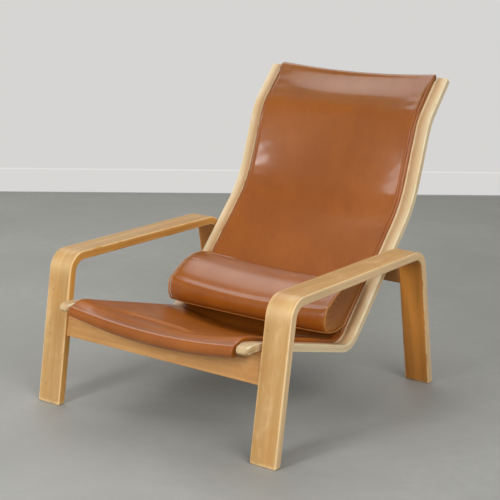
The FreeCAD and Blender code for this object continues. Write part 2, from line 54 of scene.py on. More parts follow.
bl_info = {
    "name": "Lounge Chair Looks",
    "version": (1, 0, 0),
    "blender": (4, 5, 0),
    "location": "View3D > Sidebar > Lounge Chair",
    "description": "Builds the finishes and soft pieces of a bent-wood lounge chair on its packed model",
    "category": "Object",
}

# Half of the chair's whole width, and the way to either side
HALF_WIDTH = cad_box[1][0]
SIDES = ((1, "right"), (-1, "left"))

# The corners of the boards' upper lines before they are rounded, seen from the side: depth behind the
# front feet and height, in millimetres. The model's origin is in the middle of the chair's depth.
DEPTH_SHIFT = -0.4355
ARM_CORNERS = ((0.0, 0.0), (54.5, 367.0), (643.5, 367.0), (721.5, 0.0))
ARM_RADII = (50.0, 55.0)
RAIL_CORNERS = (
    (-10.0, 257.7),
    (25.2, 265.2),
    (431.2, 156.4),
    (709.4, 454.9),
    (778.8, 662.1),
    (870.6, 764.7),
)
RAIL_RADII = (150.0, 52.0, 270.0, 148.0)


class RoundedLine:
    """Straight runs joined by arcs, seen from the side.

    A run that starts at p with heading a and curvature k is, after a length s,
    at p + (sin(a + k s) - sin a, cos a - cos(a + k s)) / k. Straight runs have a
    curvature of a millionth. Outwards is a quarter turn left of the heading.
    """

    def __init__(self, corners, radii):
        corners = np.array(corners) / 1000
        sides = np.diff(corners, axis=0)
        headings = np.arctan2(sides[:, 1], sides[:, 0])
        turns = np.diff(headings)
        radii = np.array(radii) / 1000
        setback = radii * np.tan(np.abs(turns) / 2)
        straight = np.hypot(*sides.T) - np.append(0, setback) - np.append(setback, 0)
        lengths = np.empty(2 * len(turns) + 1)
        lengths[0::2] = np.maximum(straight, 0)
        lengths[1::2] = radii * np.abs(turns)
        self.curvature = np.full(len(lengths), 1e-6)
        self.curvature[1::2] = turns / lengths[1::2]
        self.heading = np.repeat(headings, 2)[:-1]
        self.start = np.append(0, np.cumsum(lengths)[:-1])
        self.length = lengths.sum()
        ends = self.heading + self.curvature * lengths
        step_y = (np.sin(ends) - np.sin(self.heading)) / self.curvature
        step_z = (np.cos(self.heading) - np.cos(ends)) / self.curvature
        self.y = corners[0, 0] + DEPTH_SHIFT + np.append(0, np.cumsum(step_y)[:-1])
        self.z = corners[0, 1] + np.append(0, np.cumsum(step_z)[:-1])

    def run_at(self, along):
        """Number of the run that each length falls in."""
        return np.clip(np.searchsorted(self.start, along, side="right") - 1, 0, len(self.start) - 1)

    def direction(self, along):
        """Heading at each length along the line."""
        run = self.run_at(along)
        return self.heading[run] + self.curvature[run] * (along - self.start[run])

    def place(self, along, out):
        """Y and Z of the points that far along the line and that far outside it."""
        run = self.run_at(along)
        bend = self.curvature[run]
        begin = self.heading[run]
        heading = begin + bend * (along - self.start[run])
        y = self.y[run] + (np.sin(heading) - np.sin(begin)) / bend - out * np.sin(heading)
        z = self.z[run] + (np.cos(begin) - np.cos(heading)) / bend + out * np.cos(heading)
        return y, z

    def find(self, y, z):
        """Length along the line and distance outside it of the points given by Y and Z."""
        marks = np.linspace(0, self.length, 600)
        line_y, line_z = self.place(marks, 0.0)
        nearest = np.argmin((y[:, None] - line_y) ** 2 + (z[:, None] - line_z) ** 2, axis=1)
        heading = self.direction(marks[nearest])
        off_y = y - line_y[nearest]
        off_z = z - line_z[nearest]
        along = marks[nearest] + off_y * np.cos(heading) + off_z * np.sin(heading)
        return along, off_z * np.cos(heading) - off_y * np.sin(heading)


arm_line = RoundedLine(ARM_CORNERS, ARM_RADII)
rail_line = RoundedLine(RAIL_CORNERS, RAIL_RADII)


def rise(value, low, high):
    """Zero below low, one above high, and 3t^2 - 2t^3 between."""
    part = np.clip((value - low) / (high - low), 0, 1)
    return part * part * (3 - 2 * part)


def bump(value, middle, width):
    """A bell shape: e to the power of minus the squared distance in widths."""
    return np.exp(-(((value - middle) / width) ** 2))


def grid_quads(rows, columns, wrap):
    """The quads of a grid of points, row by row. A grid that wraps joins its last column to its first."""
    row, column = np.meshgrid(np.arange(rows - 1), np.arange(columns if wrap else columns - 1), indexing="ij")
    first = row * columns + column
    second = row * columns + (column + 1) % columns
    return np.stack([first, second, second + columns, first + columns], axis=-1).reshape(-1, 4)


def add_object(name, data):
    """An object in the scene's own collection."""
    made = bpy.data.objects.new(name, data)
    bpy.context.scene.collection.objects.link(made)
    return made


def add_piece(name, points, faces, fields=None, sharp=40.0, closed=True):
    """A mesh object from points and faces, with values for its materials at each point."""
    mesh = bpy.data.meshes.new(name)
    mesh.from_pydata(points.reshape(-1, 3).tolist(), [], faces)
    for field, values in (fields or {}).items():
        kind, slot = ("FLOAT_VECTOR", "vector") if values.ndim == 2 else ("FLOAT", "value")
        mesh.attributes.new(field, kind, "POINT").data.foreach_set(slot, values.astype(np.float32).ravel())
    if closed:
        shell = bmesh.new()
        shell.from_mesh(mesh)
        bmesh.ops.remove_doubles(shell, verts=shell.verts, dist=2e-6)
        bmesh.ops.recalc_face_normals(shell, faces=shell.faces)
        shell.to_mesh(mesh)
        shell.free()
    mesh.polygons.foreach_set("use_smooth", np.ones(len(mesh.polygons), bool))
    mesh.set_sharp_from_angle(angle=math.radians(sharp))
    return add_object(name, mesh)


def fit(piece, body, slot, material, *nodes):
    """Puts a piece on its body with its finish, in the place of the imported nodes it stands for."""
    piece.data.materials.append(finish(material))
    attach(piece, body)
    if nodes:
        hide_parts(*nodes)


def rounded_section(low_x, high_x, low_out, high_out, radius, margin=0.004):
    """Points round a rectangle with rounded corners, and how worn each is.

    Each corner is its centre plus the radius times (cos t, sin t) over a quarter
    turn, with one point further along the flat on either side of it.
    """
    turn = np.radians([[0, 0, 22.5, 45, 67.5, 90, 90]]) + np.radians([[0], [90], [180], [270]])
    slide = np.array([-margin, 0, 0, 0, 0, 0, margin])
    centre_x = np.array([[high_x - radius], [low_x + radius], [low_x + radius], [high_x - radius]])
    centre_out = np.array([[high_out - radius], [high_out - radius], [low_out + radius], [low_out + radius]])
    x = centre_x + radius * np.cos(turn) - slide * np.sin(turn)
    out = centre_out + radius * np.sin(turn) + slide * np.cos(turn)
    worn = np.tile([0.0, 0.6, 0.9, 1.0, 0.9, 0.6, 0.0], 4)
    return np.stack([x.ravel(), out.ravel()], axis=-1), worn


def carried_along(line, along, section):
    """Rings of points: each ring is the section set across the line at its length."""
    y, z = line.place(along, section[..., 1])
    return np.stack([section[..., 0], y, z], axis=-1)


def capped_rings(name, rings, fields, sharp=40.0):
    """A closed piece from rings of points, with a flat face on the first and the last."""
    count, across = rings.shape[:2]
    faces = grid_quads(count, across, True).tolist()
    faces += [list(range(across))[::-1], list(range((count - 1) * across, count * across))]
    return add_piece(name, rings, faces, fields, sharp)


def board_fields(along, section, worn):
    """Each point's place in the straight board, as along, across and deep, and its wear."""
    along = np.broadcast_to(along, section.shape[:2])
    return {
        "board": np.stack([along, section[..., 0], section[..., 1]], axis=-1).reshape(-1, 3),
        "worn": worn.reshape(-1),
    }


def length_setting(name, description, default):
    """A setting in metres."""
    return bpy.props.FloatProperty(name=name, description=description, default=default, unit="LENGTH")


def colour_setting(name, description, default):
    """A setting that is a colour."""
    return bpy.props.FloatVectorProperty(name=name, description=description, default=default, subtype="COLOR")


def angle_setting(name, description, default):
    """A setting that is an angle."""
    return bpy.props.FloatProperty(name=name, description=description, default=default, subtype="ANGLE")


class ArmSettings(bpy.types.PropertyGroup):
    board_width: length_setting("Board Width", "Width of the bent boards", 0.068)
    board_thickness: length_setting("Board Thickness", "Thickness of the bent boards", 0.021)
    veneer: length_setting("Veneer", "Thickness of the arms' veneers", 0.003)
    edge_round: length_setting("Edge Round", "Radius of the boards' long edges", 0.003)
    foot_chamfer: length_setting("Foot Chamfer", "Height of the chamfer round each foot", 0.003)
    # Middle of the painted highlight on each arm's front bend
    bend_highlight_middle: length_setting("Front Bend", "Middle of the hand-worn front bend, along the board", 0.340)
    light_wood: colour_setting("Light Wood", "Palest tone of the arms", (0.82, 0.515, 0.215))
    dark_wood: colour_setting("Dark Wood", "Deepest tone of the arms", (0.65, 0.355, 0.110))
    # The arms' inner faces and inner edges take painted shade
    inner_shade_wood: colour_setting("Inner Wood", "Tone of the arms' inner faces", (0.62, 0.235, 0.034))
    edge_shade_wood: colour_setting("Edge Wood", "Tone of the arms' inner edges", (0.74, 0.36, 0.075))
    # The arms' outer edges take painted light
    outer_lit_wood: colour_setting("Outer Wood", "Tone of the arms' outer edges", (0.87, 0.60, 0.32))


class RailSettings(bpy.types.PropertyGroup):
    inner_face: length_setting("Inner Face", "Distance of the rails' inner faces from the middle", 0.2415)
    width: length_setting("Width", "Width of the rails", 0.030)
    thickness: length_setting("Thickness", "Thickness of the rails", 0.018)
    veneer: length_setting("Veneer", "Thickness of the rails' veneers", 0.0036)
    arris: length_setting("Arris", "Radius of the rails' long edges", 0.002)
    nose_length: length_setting("Nose Length", "Length over which the front ends are rounded", 0.012)
    light_wood: colour_setting("Light Wood", "Palest tone of the rails", (0.95, 0.75, 0.475))
    dark_wood: colour_setting("Dark Wood", "Deepest tone of the rails", (0.86, 0.63, 0.345))
    # The rails' inner faces take painted shade
    inner_shade_wood: colour_setting("Inner Wood", "Tone of the rails' inner faces", (0.47, 0.25, 0.10))
    end_wood: colour_setting("End Wood", "Tone of the rails' front ends", (0.62, 0.42, 0.21))


class JoinerySettings(bpy.types.PropertyGroup):
    light_wood: colour_setting("Light Wood", "Palest tone of the front crossrail", (0.66, 0.36, 0.125))
    dark_wood: colour_setting("Dark Wood", "Deepest tone of the front crossrail", (0.50, 0.24, 0.07))
    # The rear crossrail's deeper tone is painted shade
    rear_shade_wood: colour_setting("Rear Wood", "Tone of the rear crossrail", (0.44, 0.20, 0.06))
    steel: colour_setting("Steel", "Colour of brackets and screws", (0.5, 0.5, 0.5))


class SlingSettings(bpy.types.PropertyGroup):
    half_width: length_setting("Half Width", "Half the width between the edge cords", 0.2295)
    roll_half_width: length_setting("Roll Half Width", "Half the width of the front roll", 0.238)
    roll_radius: length_setting("Roll Radius", "Radius of the front roll", 0.0165)
    roll_centre: length_setting("Roll Centre", "Length along the rails to the roll's middle", 0.012)
    cord_diameter: length_setting("Edge Cord", "Diameter of the corded edges", 0.010)
    cord_middle: length_setting("Cord Middle", "Distance of the edge cords from the middle", 0.233)
    head_reach: length_setting("Head Reach", "How far the head stands past the rails", 0.006)
    head_round: length_setting("Head Round", "Length over which the head is rounded", 0.011)
    crease_height: length_setting("Crease", "Height of the fold behind the front roll", 0.0042)
    leather: colour_setting("Leather", "Main tone of the leather", (0.315, 0.090, 0.0085))
    deep_leather: colour_setting("Deep Leather", "Tone in folds and worn patches", (0.210, 0.050, 0.006))
    backing: colour_setting("Backing", "Colour of the cloth under the sling", (0.12, 0.10, 0.08))


class CushionSettings(bpy.types.PropertyGroup):
    pressure: bpy.props.FloatProperty(
        name="Pressure", description="How hard the filling pushes", default=4.0, min=0.0
    )
    spare_leather: bpy.props.FloatProperty(
        name="Spare Leather", description="How much larger the cover is cut", default=0.035, subtype="FACTOR"
    )
    steps: bpy.props.IntProperty(
        name="Steps", description="Number of steps that the cover settles for", default=24, min=2
    )
    reach: length_setting("Reach", "The most that a point may move", 0.012)
    welt: length_setting("Welt", "Diameter of the corded seams", 0.0044)


class StageSettings(bpy.types.PropertyGroup):
    floor: colour_setting("Floor", "Colour of the floor", (0.345, 0.345, 0.32))
    wall: colour_setting("Wall", "Colour of the wall", (0.672, 0.665, 0.651))
    wall_distance: length_setting("Wall Distance", "How far the wall is behind the chair", 2.45)
    wall_turn: angle_setting("Wall Turn", "Angle between the wall and the camera's own plane", 0.061)
    camera_place: bpy.props.FloatVectorProperty(
        name="Camera",
        description="Where the camera stands",
        default=(1.7524, -2.5369, 1.1059),
        subtype="TRANSLATION",
    )
    camera_turn: angle_setting("Turn", "Angle round the chair from its front", math.radians(35.14))
    camera_tilt: angle_setting("Tilt", "Angle looking down", math.radians(13.79))
    camera_roll: angle_setting("Roll", "Angle that the camera leans", math.radians(1.13))
    lens: bpy.props.FloatProperty(
        name="Lens", description="Focal length in millimetres on a 36 mm sensor", default=91.63, min=1.0
    )


def fill(tree, node, values):
    """Fills a node's inputs by label or number. A socket is linked, and a plain colour is made opaque."""
    for label, value in values.items():
        target = node.inputs[label]
        if isinstance(value, bpy.types.NodeSocket):
            tree.links.new(value, target)
        else:
            target.default_value = (*value, 1.0) if target.type == "RGBA" else value


def add_node(tree, kind, values=None, **settings):
    """A node of that kind with its settings, and with its inputs filled in."""
    node = tree.nodes.new("ShaderNode" + kind)
    for name, setting in settings.items():
        setattr(node, name, setting)
    fill(tree, node, values or {})
    return node


def mix_colours(tree, amount, first, second, blend="MIX"):
    """The output of a node that mixes two colours, each given as a socket or as a plain colour."""
    values = {0: amount, 6: first, 7: second}
    return add_node(tree, "Mix", values, data_type="RGBA", blend_type=blend).outputs[2]


def mix_shaders(tree, amount, first, second):
    """The output of a node that goes from one shader to another."""
    return add_node(tree, "MixShader", {0: amount, 1: first, 2: second}).outputs[0]


def calculate(tree, operation, *values):
    """The output of a Math node on sockets or plain numbers."""
    return add_node(tree, "Math", dict(enumerate(values)), operation=operation).outputs[0]


def product(tree, *values):
    """Two values multiplied."""
    return calculate(tree, "MULTIPLY", *values)


def spread(tree, value, low, high, new_low=0.0, new_high=1.0):
    """A value carried smoothly from one range to another and held at its ends."""
    values = dict(enumerate((value, low, high, new_low, new_high)))
    return add_node(tree, "MapRange", values, interpolation_type="SMOOTHSTEP").outputs[0]


def noise(tree, place, scale, stretch=(1, 1, 1), detail=3.0, roughness=0.55, distortion=0.0):
    """Noise over a place that is first stretched along its axes."""
    stretched = add_node(tree, "Mapping", {"Vector": place, "Scale": stretch}).outputs[0]
    values = {"Vector": stretched, "Scale": scale, "Detail": detail, "Roughness": roughness}
    return add_node(tree, "TexNoise", {**values, "Distortion": distortion}).outputs[0]


def patchy(tree, place, scale, low, high, most=1.0, **shape):
    """Soft patches: noise carried from nothing where it is low to the most where it is high."""
    return spread(tree, noise(tree, place, scale, **shape), low, high, new_high=most)


def object_place(tree):
    """Where each point is in its piece's own space."""
    return add_node(tree, "TexCoord").outputs["Object"]


def mesh_field(tree, name, output="Fac"):
    """What the mesh holds under that name at each point."""
    return add_node(tree, "Attribute", attribute_name=name).outputs[output]


def three_parts(tree, place):
    """A place split into its three parts."""
    return add_node(tree, "SeparateXYZ", {0: place}).outputs


def toned(colour, factor, lift=0.0, most=1.0):
    """A plain colour with each part multiplied and raised, by one factor or by three, up to a most."""
    factors = factor if isinstance(factor, tuple) else (factor,) * 3
    return [min(most, by * part + lift) for by, part in zip(factors, colour)]


def new_group(name, inputs, outputs):
    """A node group with float inputs and outputs, save that Place is a vector."""
    group = bpy.data.node_groups.new(name, "ShaderNodeTree")
    for label, default in inputs:
        kind = "NodeSocketVector" if default is None else "NodeSocketFloat"
        socket = group.interface.new_socket(label, in_out="INPUT", socket_type=kind)
        if default is not None:
            socket.default_value = default
    for label in outputs:
        group.interface.new_socket(label, in_out="OUTPUT", socket_type="NodeSocketFloat")
    return group, group.nodes.new("NodeGroupInput").outputs, group.nodes.new("NodeGroupOutput")


def make_grain_group():
    """Long streaks and fine pores that run along the board."""
    group, given, result = new_group("long grain", [("Place", None), ("Seed", 0.0)], ["Figure", "Pores"])
    shift = add_node(group, "CombineXYZ", {"X": given["Seed"]}).outputs[0]
    place = add_node(group, "VectorMath", {0: given["Place"], 1: shift}, operation="ADD").outputs[0]
    broad = noise(group, place, 1.0, (1.8, 26, 26), distortion=0.6)
    fine = noise(group, place, 1.0, (5.0, 190, 190), roughness=0.6, distortion=0.2)
    figure = calculate(group, "ADD", product(group, broad, 0.62), product(group, fine, 0.38))
    pores = patchy(group, place, 1.0, 0.58, 0.72, stretch=(22, 900, 900), detail=2.0, roughness=0.5)
    fill(group, result, {"Figure": spread(group, figure, 0.36, 0.64), "Pores": pores})
    return group


def make_ply_group():
    """A tone for each veneer of a laminated board, and the thin dark glue lines between them."""
    inputs = [("Place", None), ("Thickness", 0.003)]
    group, given, result = new_group("glued veneers", inputs, ["Tone", "Glue Line"])
    depth = three_parts(group, given["Place"])[2]
    count = calculate(group, "DIVIDE", depth, given["Thickness"])
    chance = add_node(group, "TexWhiteNoise", {"W": calculate(group, "FLOOR", count)}, noise_dimensions="1D")
    from_middle = calculate(group, "SUBTRACT", calculate(group, "FRACT", count), 0.5)
    line = spread(group, calculate(group, "ABSOLUTE", from_middle), 0.40, 0.49)
    fill(group, result, {"Tone": chance.outputs["Value"], "Glue Line": line})
    return group


def make_wear_group():
    """Where an edge has been rubbed: its wear value squared and broken up by noise."""
    inputs = [("Place", None), ("Edge", 0.0), ("Amount", 0.5)]
    group, given, result = new_group("rubbed edges", inputs, ["Rubbed"])
    patches = noise(group, given["Place"], 22.0, detail=4.0, roughness=0.65)
    lifted = calculate(group, "ADD", patches, product(group, given["Amount"], 0.35))
    edge = calculate(group, "POWER", given["Edge"], 2.0)
    fill(group, result, {"Rubbed": product(group, edge, spread(group, lifted, 0.50, 0.72))})
    return group


def make_nick_group():
    """Small scattered nicks: the hearts of a few of many cells."""
    group, given, result = new_group("nicks", [("Place", None)], ["Nicks"])
    cells = add_node(group, "TexVoronoi", {"Vector": given["Place"], "Scale": 85.0}).outputs
    chance = add_node(group, "SeparateColor", {0: cells["Color"]}).outputs[0]
    patch = patchy(group, given["Place"], 8.0, 0.50, 0.62)
    chosen = calculate(group, "GREATER_THAN", product(group, chance, patch), 0.70)
    heart = spread(group, cells["Distance"], 0.10, 0.22, 0.75, 0.0)
    fill(group, result, {"Nicks": product(group, chosen, heart)})
    return group


def make_hide_group():
    """Leather: fine pebbling, slack lines between the pebbles, soft mottling and rubbed patches."""
    group, given, result = new_group("hide", [("Place", None)], ["Pebble", "Mottle", "Rubbed", "Lines"])
    place = given["Place"]
    cells = add_node(group, "TexVoronoi", {"Vector": place, "Scale": 620.0}, feature="DISTANCE_TO_EDGE")
    drawn_out = {"stretch": (1, 0.35, 0.35), "detail": 4.0, "roughness": 0.7, "distortion": 0.8}
    masks = {
        "Pebble": spread(group, cells.outputs["Distance"], 0.0, 0.22),
        "Mottle": patchy(group, place, 9.0, 0.32, 0.7, detail=5.0, roughness=0.6, distortion=0.5),
        "Rubbed": patchy(group, place, 3.2, 0.45, 0.7, roughness=0.6, distortion=0.3),
        "Lines": patchy(group, place, 70.0, 0.52, 0.68, **drawn_out),
    }
    fill(group, result, masks)
    return group


def new_material(name, values):
    """A material's node tree and its Principled shader with plain values set."""
    material = bpy.data.materials.new(name)
    material.use_nodes = True
    shader = material.node_tree.nodes["Principled BSDF"]
    fill(material.node_tree, shader, values)
    return material, material.node_tree, shader


def bumped(tree, height, strength, distance):
    """The normal of a surface with bumps of that height."""
    values = {"Strength": strength, "Distance": distance, "Height": height}
    return add_node(tree, "Bump", values).outputs[0]


def wood_material(name, light, dark, groups, veneer=0.0, seed=0.0, worn=True, face_tones_and_shading=()):
    """Clear-lacquered wood: grain along the board, veneers if it is laminated, and rubbed edges.

    Soil darkens it and the sun bleaches it in patches. The face list gives painted shade to faces in shade,
    painted light to lit faces and a deeper tone to the rails' front ends: for each a tone, the axis across
    the board that leads to the face, and where along that axis the tone begins and is full.
    """
    lacquer = {"Coat Weight": 0.18, "Coat Roughness": 0.26, "Specular IOR Level": 0.35}
    material, tree, shader = new_material(name, lacquer)
    place = mesh_field(tree, "board", "Vector") if worn else object_place(tree)
    figure, pores = add_node(tree, "Group", {"Place": place, "Seed": seed}, node_tree=groups["grain"]).outputs
    colour = mix_colours(tree, figure, light, dark)
    colour = mix_colours(tree, product(tree, pores, 0.35), colour, toned(dark, 0.72))
    if veneer:
        values = {"Place": place, "Thickness": veneer}
        plies = add_node(tree, "Group", values, node_tree=groups["plies"]).outputs
        tone = calculate(tree, "MULTIPLY_ADD", plies["Tone"], 0.22, 0.86)
        shade = add_node(tree, "CombineColor", {0: tone, 1: tone, 2: tone}).outputs[0]
        colour = mix_colours(tree, 1.0, colour, shade, "MULTIPLY")
        colour = mix_colours(tree, product(tree, plies["Glue Line"], 0.45), colour, toned(dark, 0.45))
    nicks = add_node(tree, "Group", {"Place": object_place(tree)}, node_tree=groups["nicks"]).outputs[0]
    colour = mix_colours(tree, nicks, colour, toned(dark, 0.3))
    soil = patchy(tree, place, 7.0, 0.48, 0.75, 0.42, stretch=(1, 2, 2), detail=4.0, roughness=0.6)
    colour = mix_colours(tree, soil, colour, toned(dark, (0.82, 0.66, 0.45)))
    bleach = patchy(tree, place, 11.0, 0.52, 0.72, 0.35, stretch=(1, 2.5, 2.5), detail=4.0, roughness=0.65)
    colour = mix_colours(tree, bleach, colour, toned(light, (1.04, 1.1, 1.35), most=0.9))
    # Painted shade or painted light on a face by how light falls on it, or the rails' deeper front ends
    for tone, axis, begins, full in face_tones_and_shading:
        inner = spread(tree, three_parts(tree, place)[axis], begins, full, new_high=0.95)
        colour = mix_colours(tree, inner, colour, mix_colours(tree, figure, tone, toned(tone, 0.72)))
    roughness = spread(tree, figure, 0.0, 1.0, 0.40, 0.50)
    if worn:
        # Pale and rougher where edges are rubbed; on the arms' front bends the same field gives a painted
        # highlight
        values = {"Place": place, "Edge": mesh_field(tree, "worn"), "Amount": 0.5}
        rubbed = add_node(tree, "Group", values, node_tree=groups["wear"]).outputs[0]
        colour = mix_colours(tree, product(tree, rubbed, 0.7), colour, toned(light, 1.05, 0.1, 0.88))
        roughness = calculate(tree, "MULTIPLY_ADD", rubbed, 0.2, roughness)
    height = calculate(tree, "SUBTRACT", product(tree, figure, 0.4), pores)
    normal = bumped(tree, height, 0.25, 0.0002)
    fill(tree, shader, {"Base Color": colour, "Roughness": roughness, "Normal": normal})
    return material


# Where the leather's wear and painted light change: the seat's dull part with its painted light along the
# chair's depth, and the head with its painted shade in height
SEAT_FRONT = (-0.430, -0.405)
SEAT_BACK = (-0.130, -0.080)
HEAD_HEIGHT = (0.665, 0.700)


def leather_material(name, main, deep, groups, glaze_roughness):
    """Glazed tan leather: pebbled, mottled and paler on rubbed seams.

    The seat has lost its glaze where it has been sat on, and its colour is made brighter and more orange
    there: painted light.
    The head is glossier where it has been leaned on, with painted shade in its colour. The seam field also
    gives the sling's fold ridge a painted highlight.
    """
    glazing = {"Coat Roughness": glaze_roughness, "Specular IOR Level": 0.18}
    material, tree, shader = new_material(name, glazing)
    place = object_place(tree)
    hide = add_node(tree, "Group", {"Place": place}, node_tree=groups["hide"]).outputs
    colour = mix_colours(tree, hide["Mottle"], deep, main)
    colour = mix_colours(tree, 0.60, colour, main)
    colour = mix_colours(tree, product(tree, hide["Rubbed"], 0.35), colour, toned(main, 1.28, 0.012))
    colour = mix_colours(tree, product(tree, hide["Lines"], 0.26), colour, deep)
    # Pale on rubbed seams, and a painted highlight on the sling's fold ridge
    seam = product(tree, mesh_field(tree, "rubbed"), 0.7)
    colour = mix_colours(tree, seam, colour, toned(main, (1.9, 2.9, 7.0)))
    _, depth, height = three_parts(tree, place)
    dull = product(tree, spread(tree, depth, *SEAT_FRONT), spread(tree, depth, *SEAT_BACK, 1.0, 0.0))
    head = spread(tree, height, *HEAD_HEIGHT)
    # Painted light: the seat's colour made brighter and more orange
    seat_light = mix_colours(tree, 1.0, colour, (1.2, 1.2, 0.65), "MULTIPLY")
    colour = mix_colours(tree, dull, colour, seat_light)
    # Painted shade: the head's colour deepened
    head_shade = mix_colours(tree, 1.0, colour, (0.84, 0.92, 0.95), "MULTIPLY")
    glaze = calculate(tree, "MULTIPLY_ADD", dull, -0.45, 0.60)
    roughness = spread(tree, hide["Mottle"], 0, 1, 0.36, 0.29)
    relief = calculate(tree, "SUBTRACT", product(tree, hide["Pebble"], 0.5), hide["Lines"])
    finished = {
        "Base Color": mix_colours(tree, head, colour, head_shade),
        "Coat Weight": calculate(tree, "MULTIPLY_ADD", head, 0.10, glaze),
        "Roughness": calculate(tree, "MULTIPLY_ADD", dull, 0.12, roughness),
        "Normal": bumped(tree, relief, 0.26, 0.0006),
    }
    fill(tree, shader, finished)
    return material


def steel_material(name, tone):
    """Zinc-plated steel with faint brushing."""
    material, tree, shader = new_material(name, {"Metallic": 1.0})
    streaks = noise(tree, object_place(tree), 60.0, (1, 12, 1), roughness=0.6)
    colour = mix_colours(tree, streaks, toned(tone, 0.8), toned(tone, 1.2))
    fill(tree, shader, {"Base Color": colour, "Roughness": spread(tree, streaks, 0.3, 0.7, 0.3, 0.48)})
    return material


def cloth_material(name, tone):
    """Plain dark canvas: crossing threads in the sheet's own directions."""
    material, tree, shader = new_material(name, {"Roughness": 0.9})
    place = mesh_field(tree, "thread", "Vector")
    values = {"Vector": place, "Scale": 180.0, "Distortion": 0.6, "Detail": 1.0}
    threads = [add_node(tree, "TexWave", values, bands_direction=axis).outputs["Fac"] for axis in "XY"]
    weave = product(tree, *threads)
    colour = mix_colours(tree, weave, toned(tone, 0.55), toned(tone, 1.25))
    fill(tree, shader, {"Base Color": colour, "Normal": bumped(tree, weave, 0.5, 0.0004)})
    return material


def shared_materials():
    """Every finish on the chair, made once."""
    scene = bpy.context.scene
    groups = {
        "grain": make_grain_group(),
        "plies": make_ply_group(),
        "wear": make_wear_group(),
        "nicks": make_nick_group(),
        "hide": make_hide_group(),
    }
    arms, rails = scene.chair_arms, scene.chair_rails
    joinery, sling = scene.chair_joinery, scene.chair_sling
    lengthways, across, deep = 0, 1, 2
    arm_inner = HALF_WIDTH - arms.board_width
    # Painted shade on the arms' inner edges and inner faces, painted light on their outer edges
    arm_light_and_shade = [
        (arms.edge_shade_wood, across, arm_inner + 0.0045, arm_inner + 0.0005),
        (arms.outer_lit_wood, across, HALF_WIDTH - 0.0035, HALF_WIDTH - 0.0005),
        (arms.inner_shade_wood, deep, 0.0025 - arms.board_thickness, 0.0002 - arms.board_thickness),
    ]
    rail_outer = rails.inner_face + rails.width
    # Painted shade on the rails' inner faces, and a deeper tone at their front ends
    rail_shade_and_ends = [
        (rails.inner_shade_wood, across, rail_outer - 0.0035, rails.inner_face + 0.001),
        (rails.end_wood, lengthways, 0.060, 0.030),
    ]
    arm_tones = arms.light_wood, arms.dark_wood
    rail_tones = rails.light_wood, rails.dark_wood
    wood_material("arm wood", *arm_tones, groups, arms.veneer, face_tones_and_shading=arm_light_and_shade)
    wood_material("rail wood", *rail_tones, groups, rails.veneer, 3.0, face_tones_and_shading=rail_shade_and_ends)
    wood_material("stretcher wood", *rail_tones, groups, seed=5.0, worn=False)
    wood_material("crossrail wood", joinery.light_wood, joinery.dark_wood, groups, seed=8.0, worn=False)
    # The rear crossrail and its dowels take painted shade
    wood_material("rear crossrail wood in shade", joinery.rear_shade_wood, joinery.rear_shade_wood, groups, seed=9.0, worn=False)
    leather_material("sling leather", sling.leather, sling.deep_leather, groups, 0.14)
    leather_material("cushion leather", sling.leather, sling.deep_leather, groups, 0.24)
    steel_material("plated steel", joinery.steel)
    cloth_material("backing cloth", sling.backing)


def finish(name):
    """A finish by name, made with all the others the first time one is asked for."""
    if name not in bpy.data.materials:
        shared_materials()
    return bpy.data.materials[name]


def dress(node, material):
    """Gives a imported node's own solid a finish."""
    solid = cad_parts[node]
    if not solid.data.materials:
        solid.data.materials.append(None)
    for slot in solid.material_slots:
        slot.material = finish(material)


class LOUNGECHAIR_OT_arms(bpy.types.Operator):
    """Builds the two bent arm loops, front leg, armrest and rear leg in one board each"""

    bl_idname = "lounge_chair.arms"
    bl_label = "Arm Loops"

    # The two flat points of the top face, and how far apart along one grain the two boards are cut
    top_face = slice(6, 8)
    grain_apart = 2.0

    def execute(self, context):
        sizes = context.scene.chair_arms
        thick, chamfer = sizes.board_thickness, sizes.foot_chamfer
        inner = HALF_WIDTH - sizes.board_width
        section, worn = rounded_section(inner, HALF_WIDTH, -thick, 0.0, sizes.edge_round)
        narrowed = inner + chamfer, HALF_WIDTH - chamfer, chamfer - thick, -chamfer
        foot, _ = rounded_section(*narrowed, 0.3 * sizes.edge_round, 0.002)
        clear_of_feet = 0.012
        along = np.linspace(clear_of_feet, arm_line.length - clear_of_feet, 330)[:, None]
        along = np.broadcast_to(along, (len(along), len(section)))
        start, end = arm_line.heading[0], arm_line.heading[-1]
        front = [self.reached(start, 0.0, foot), self.reached(start, chamfer, section)]
        rear = [self.reached(end, chamfer, section), self.reached(end, 0.0, foot)]
        along = np.vstack([front, along, arm_line.length + np.array(rear)])
        sections = np.stack([foot] + [section] * (len(along) - 2) + [foot])
        wear = np.tile(worn, (len(along), 1))
        wear[:2] = wear[-2:] = 1.0
        # A painted highlight on the top face of each front bend, carried in the wear field
        bend_highlight, bend_highlight_reach = 0.65, 0.030
        bend_highlights = bend_highlight * bump(along[:, self.top_face], sizes.bend_highlight_middle, bend_highlight_reach)
        wear[:, self.top_face] = np.maximum(wear[:, self.top_face], bend_highlights)
        rings = carried_along(arm_line, along, sections)
        for side, hand in SIDES:
            fields = board_fields(along + self.grain_apart * side, sections, wear)
            piece = capped_rings(f"arm_loop_{hand}", rings * (side, 1, 1), fields)
            fit(piece, "chair", "arm_wood", "arm wood", f"arm_frame_{hand}")
        return {"FINISHED"}

    def reached(self, heading, height, section):
        """How far along a leg with that heading each point of the section is at that height."""
        return (height - section[:, 1] * np.cos(heading)) / np.sin(heading)


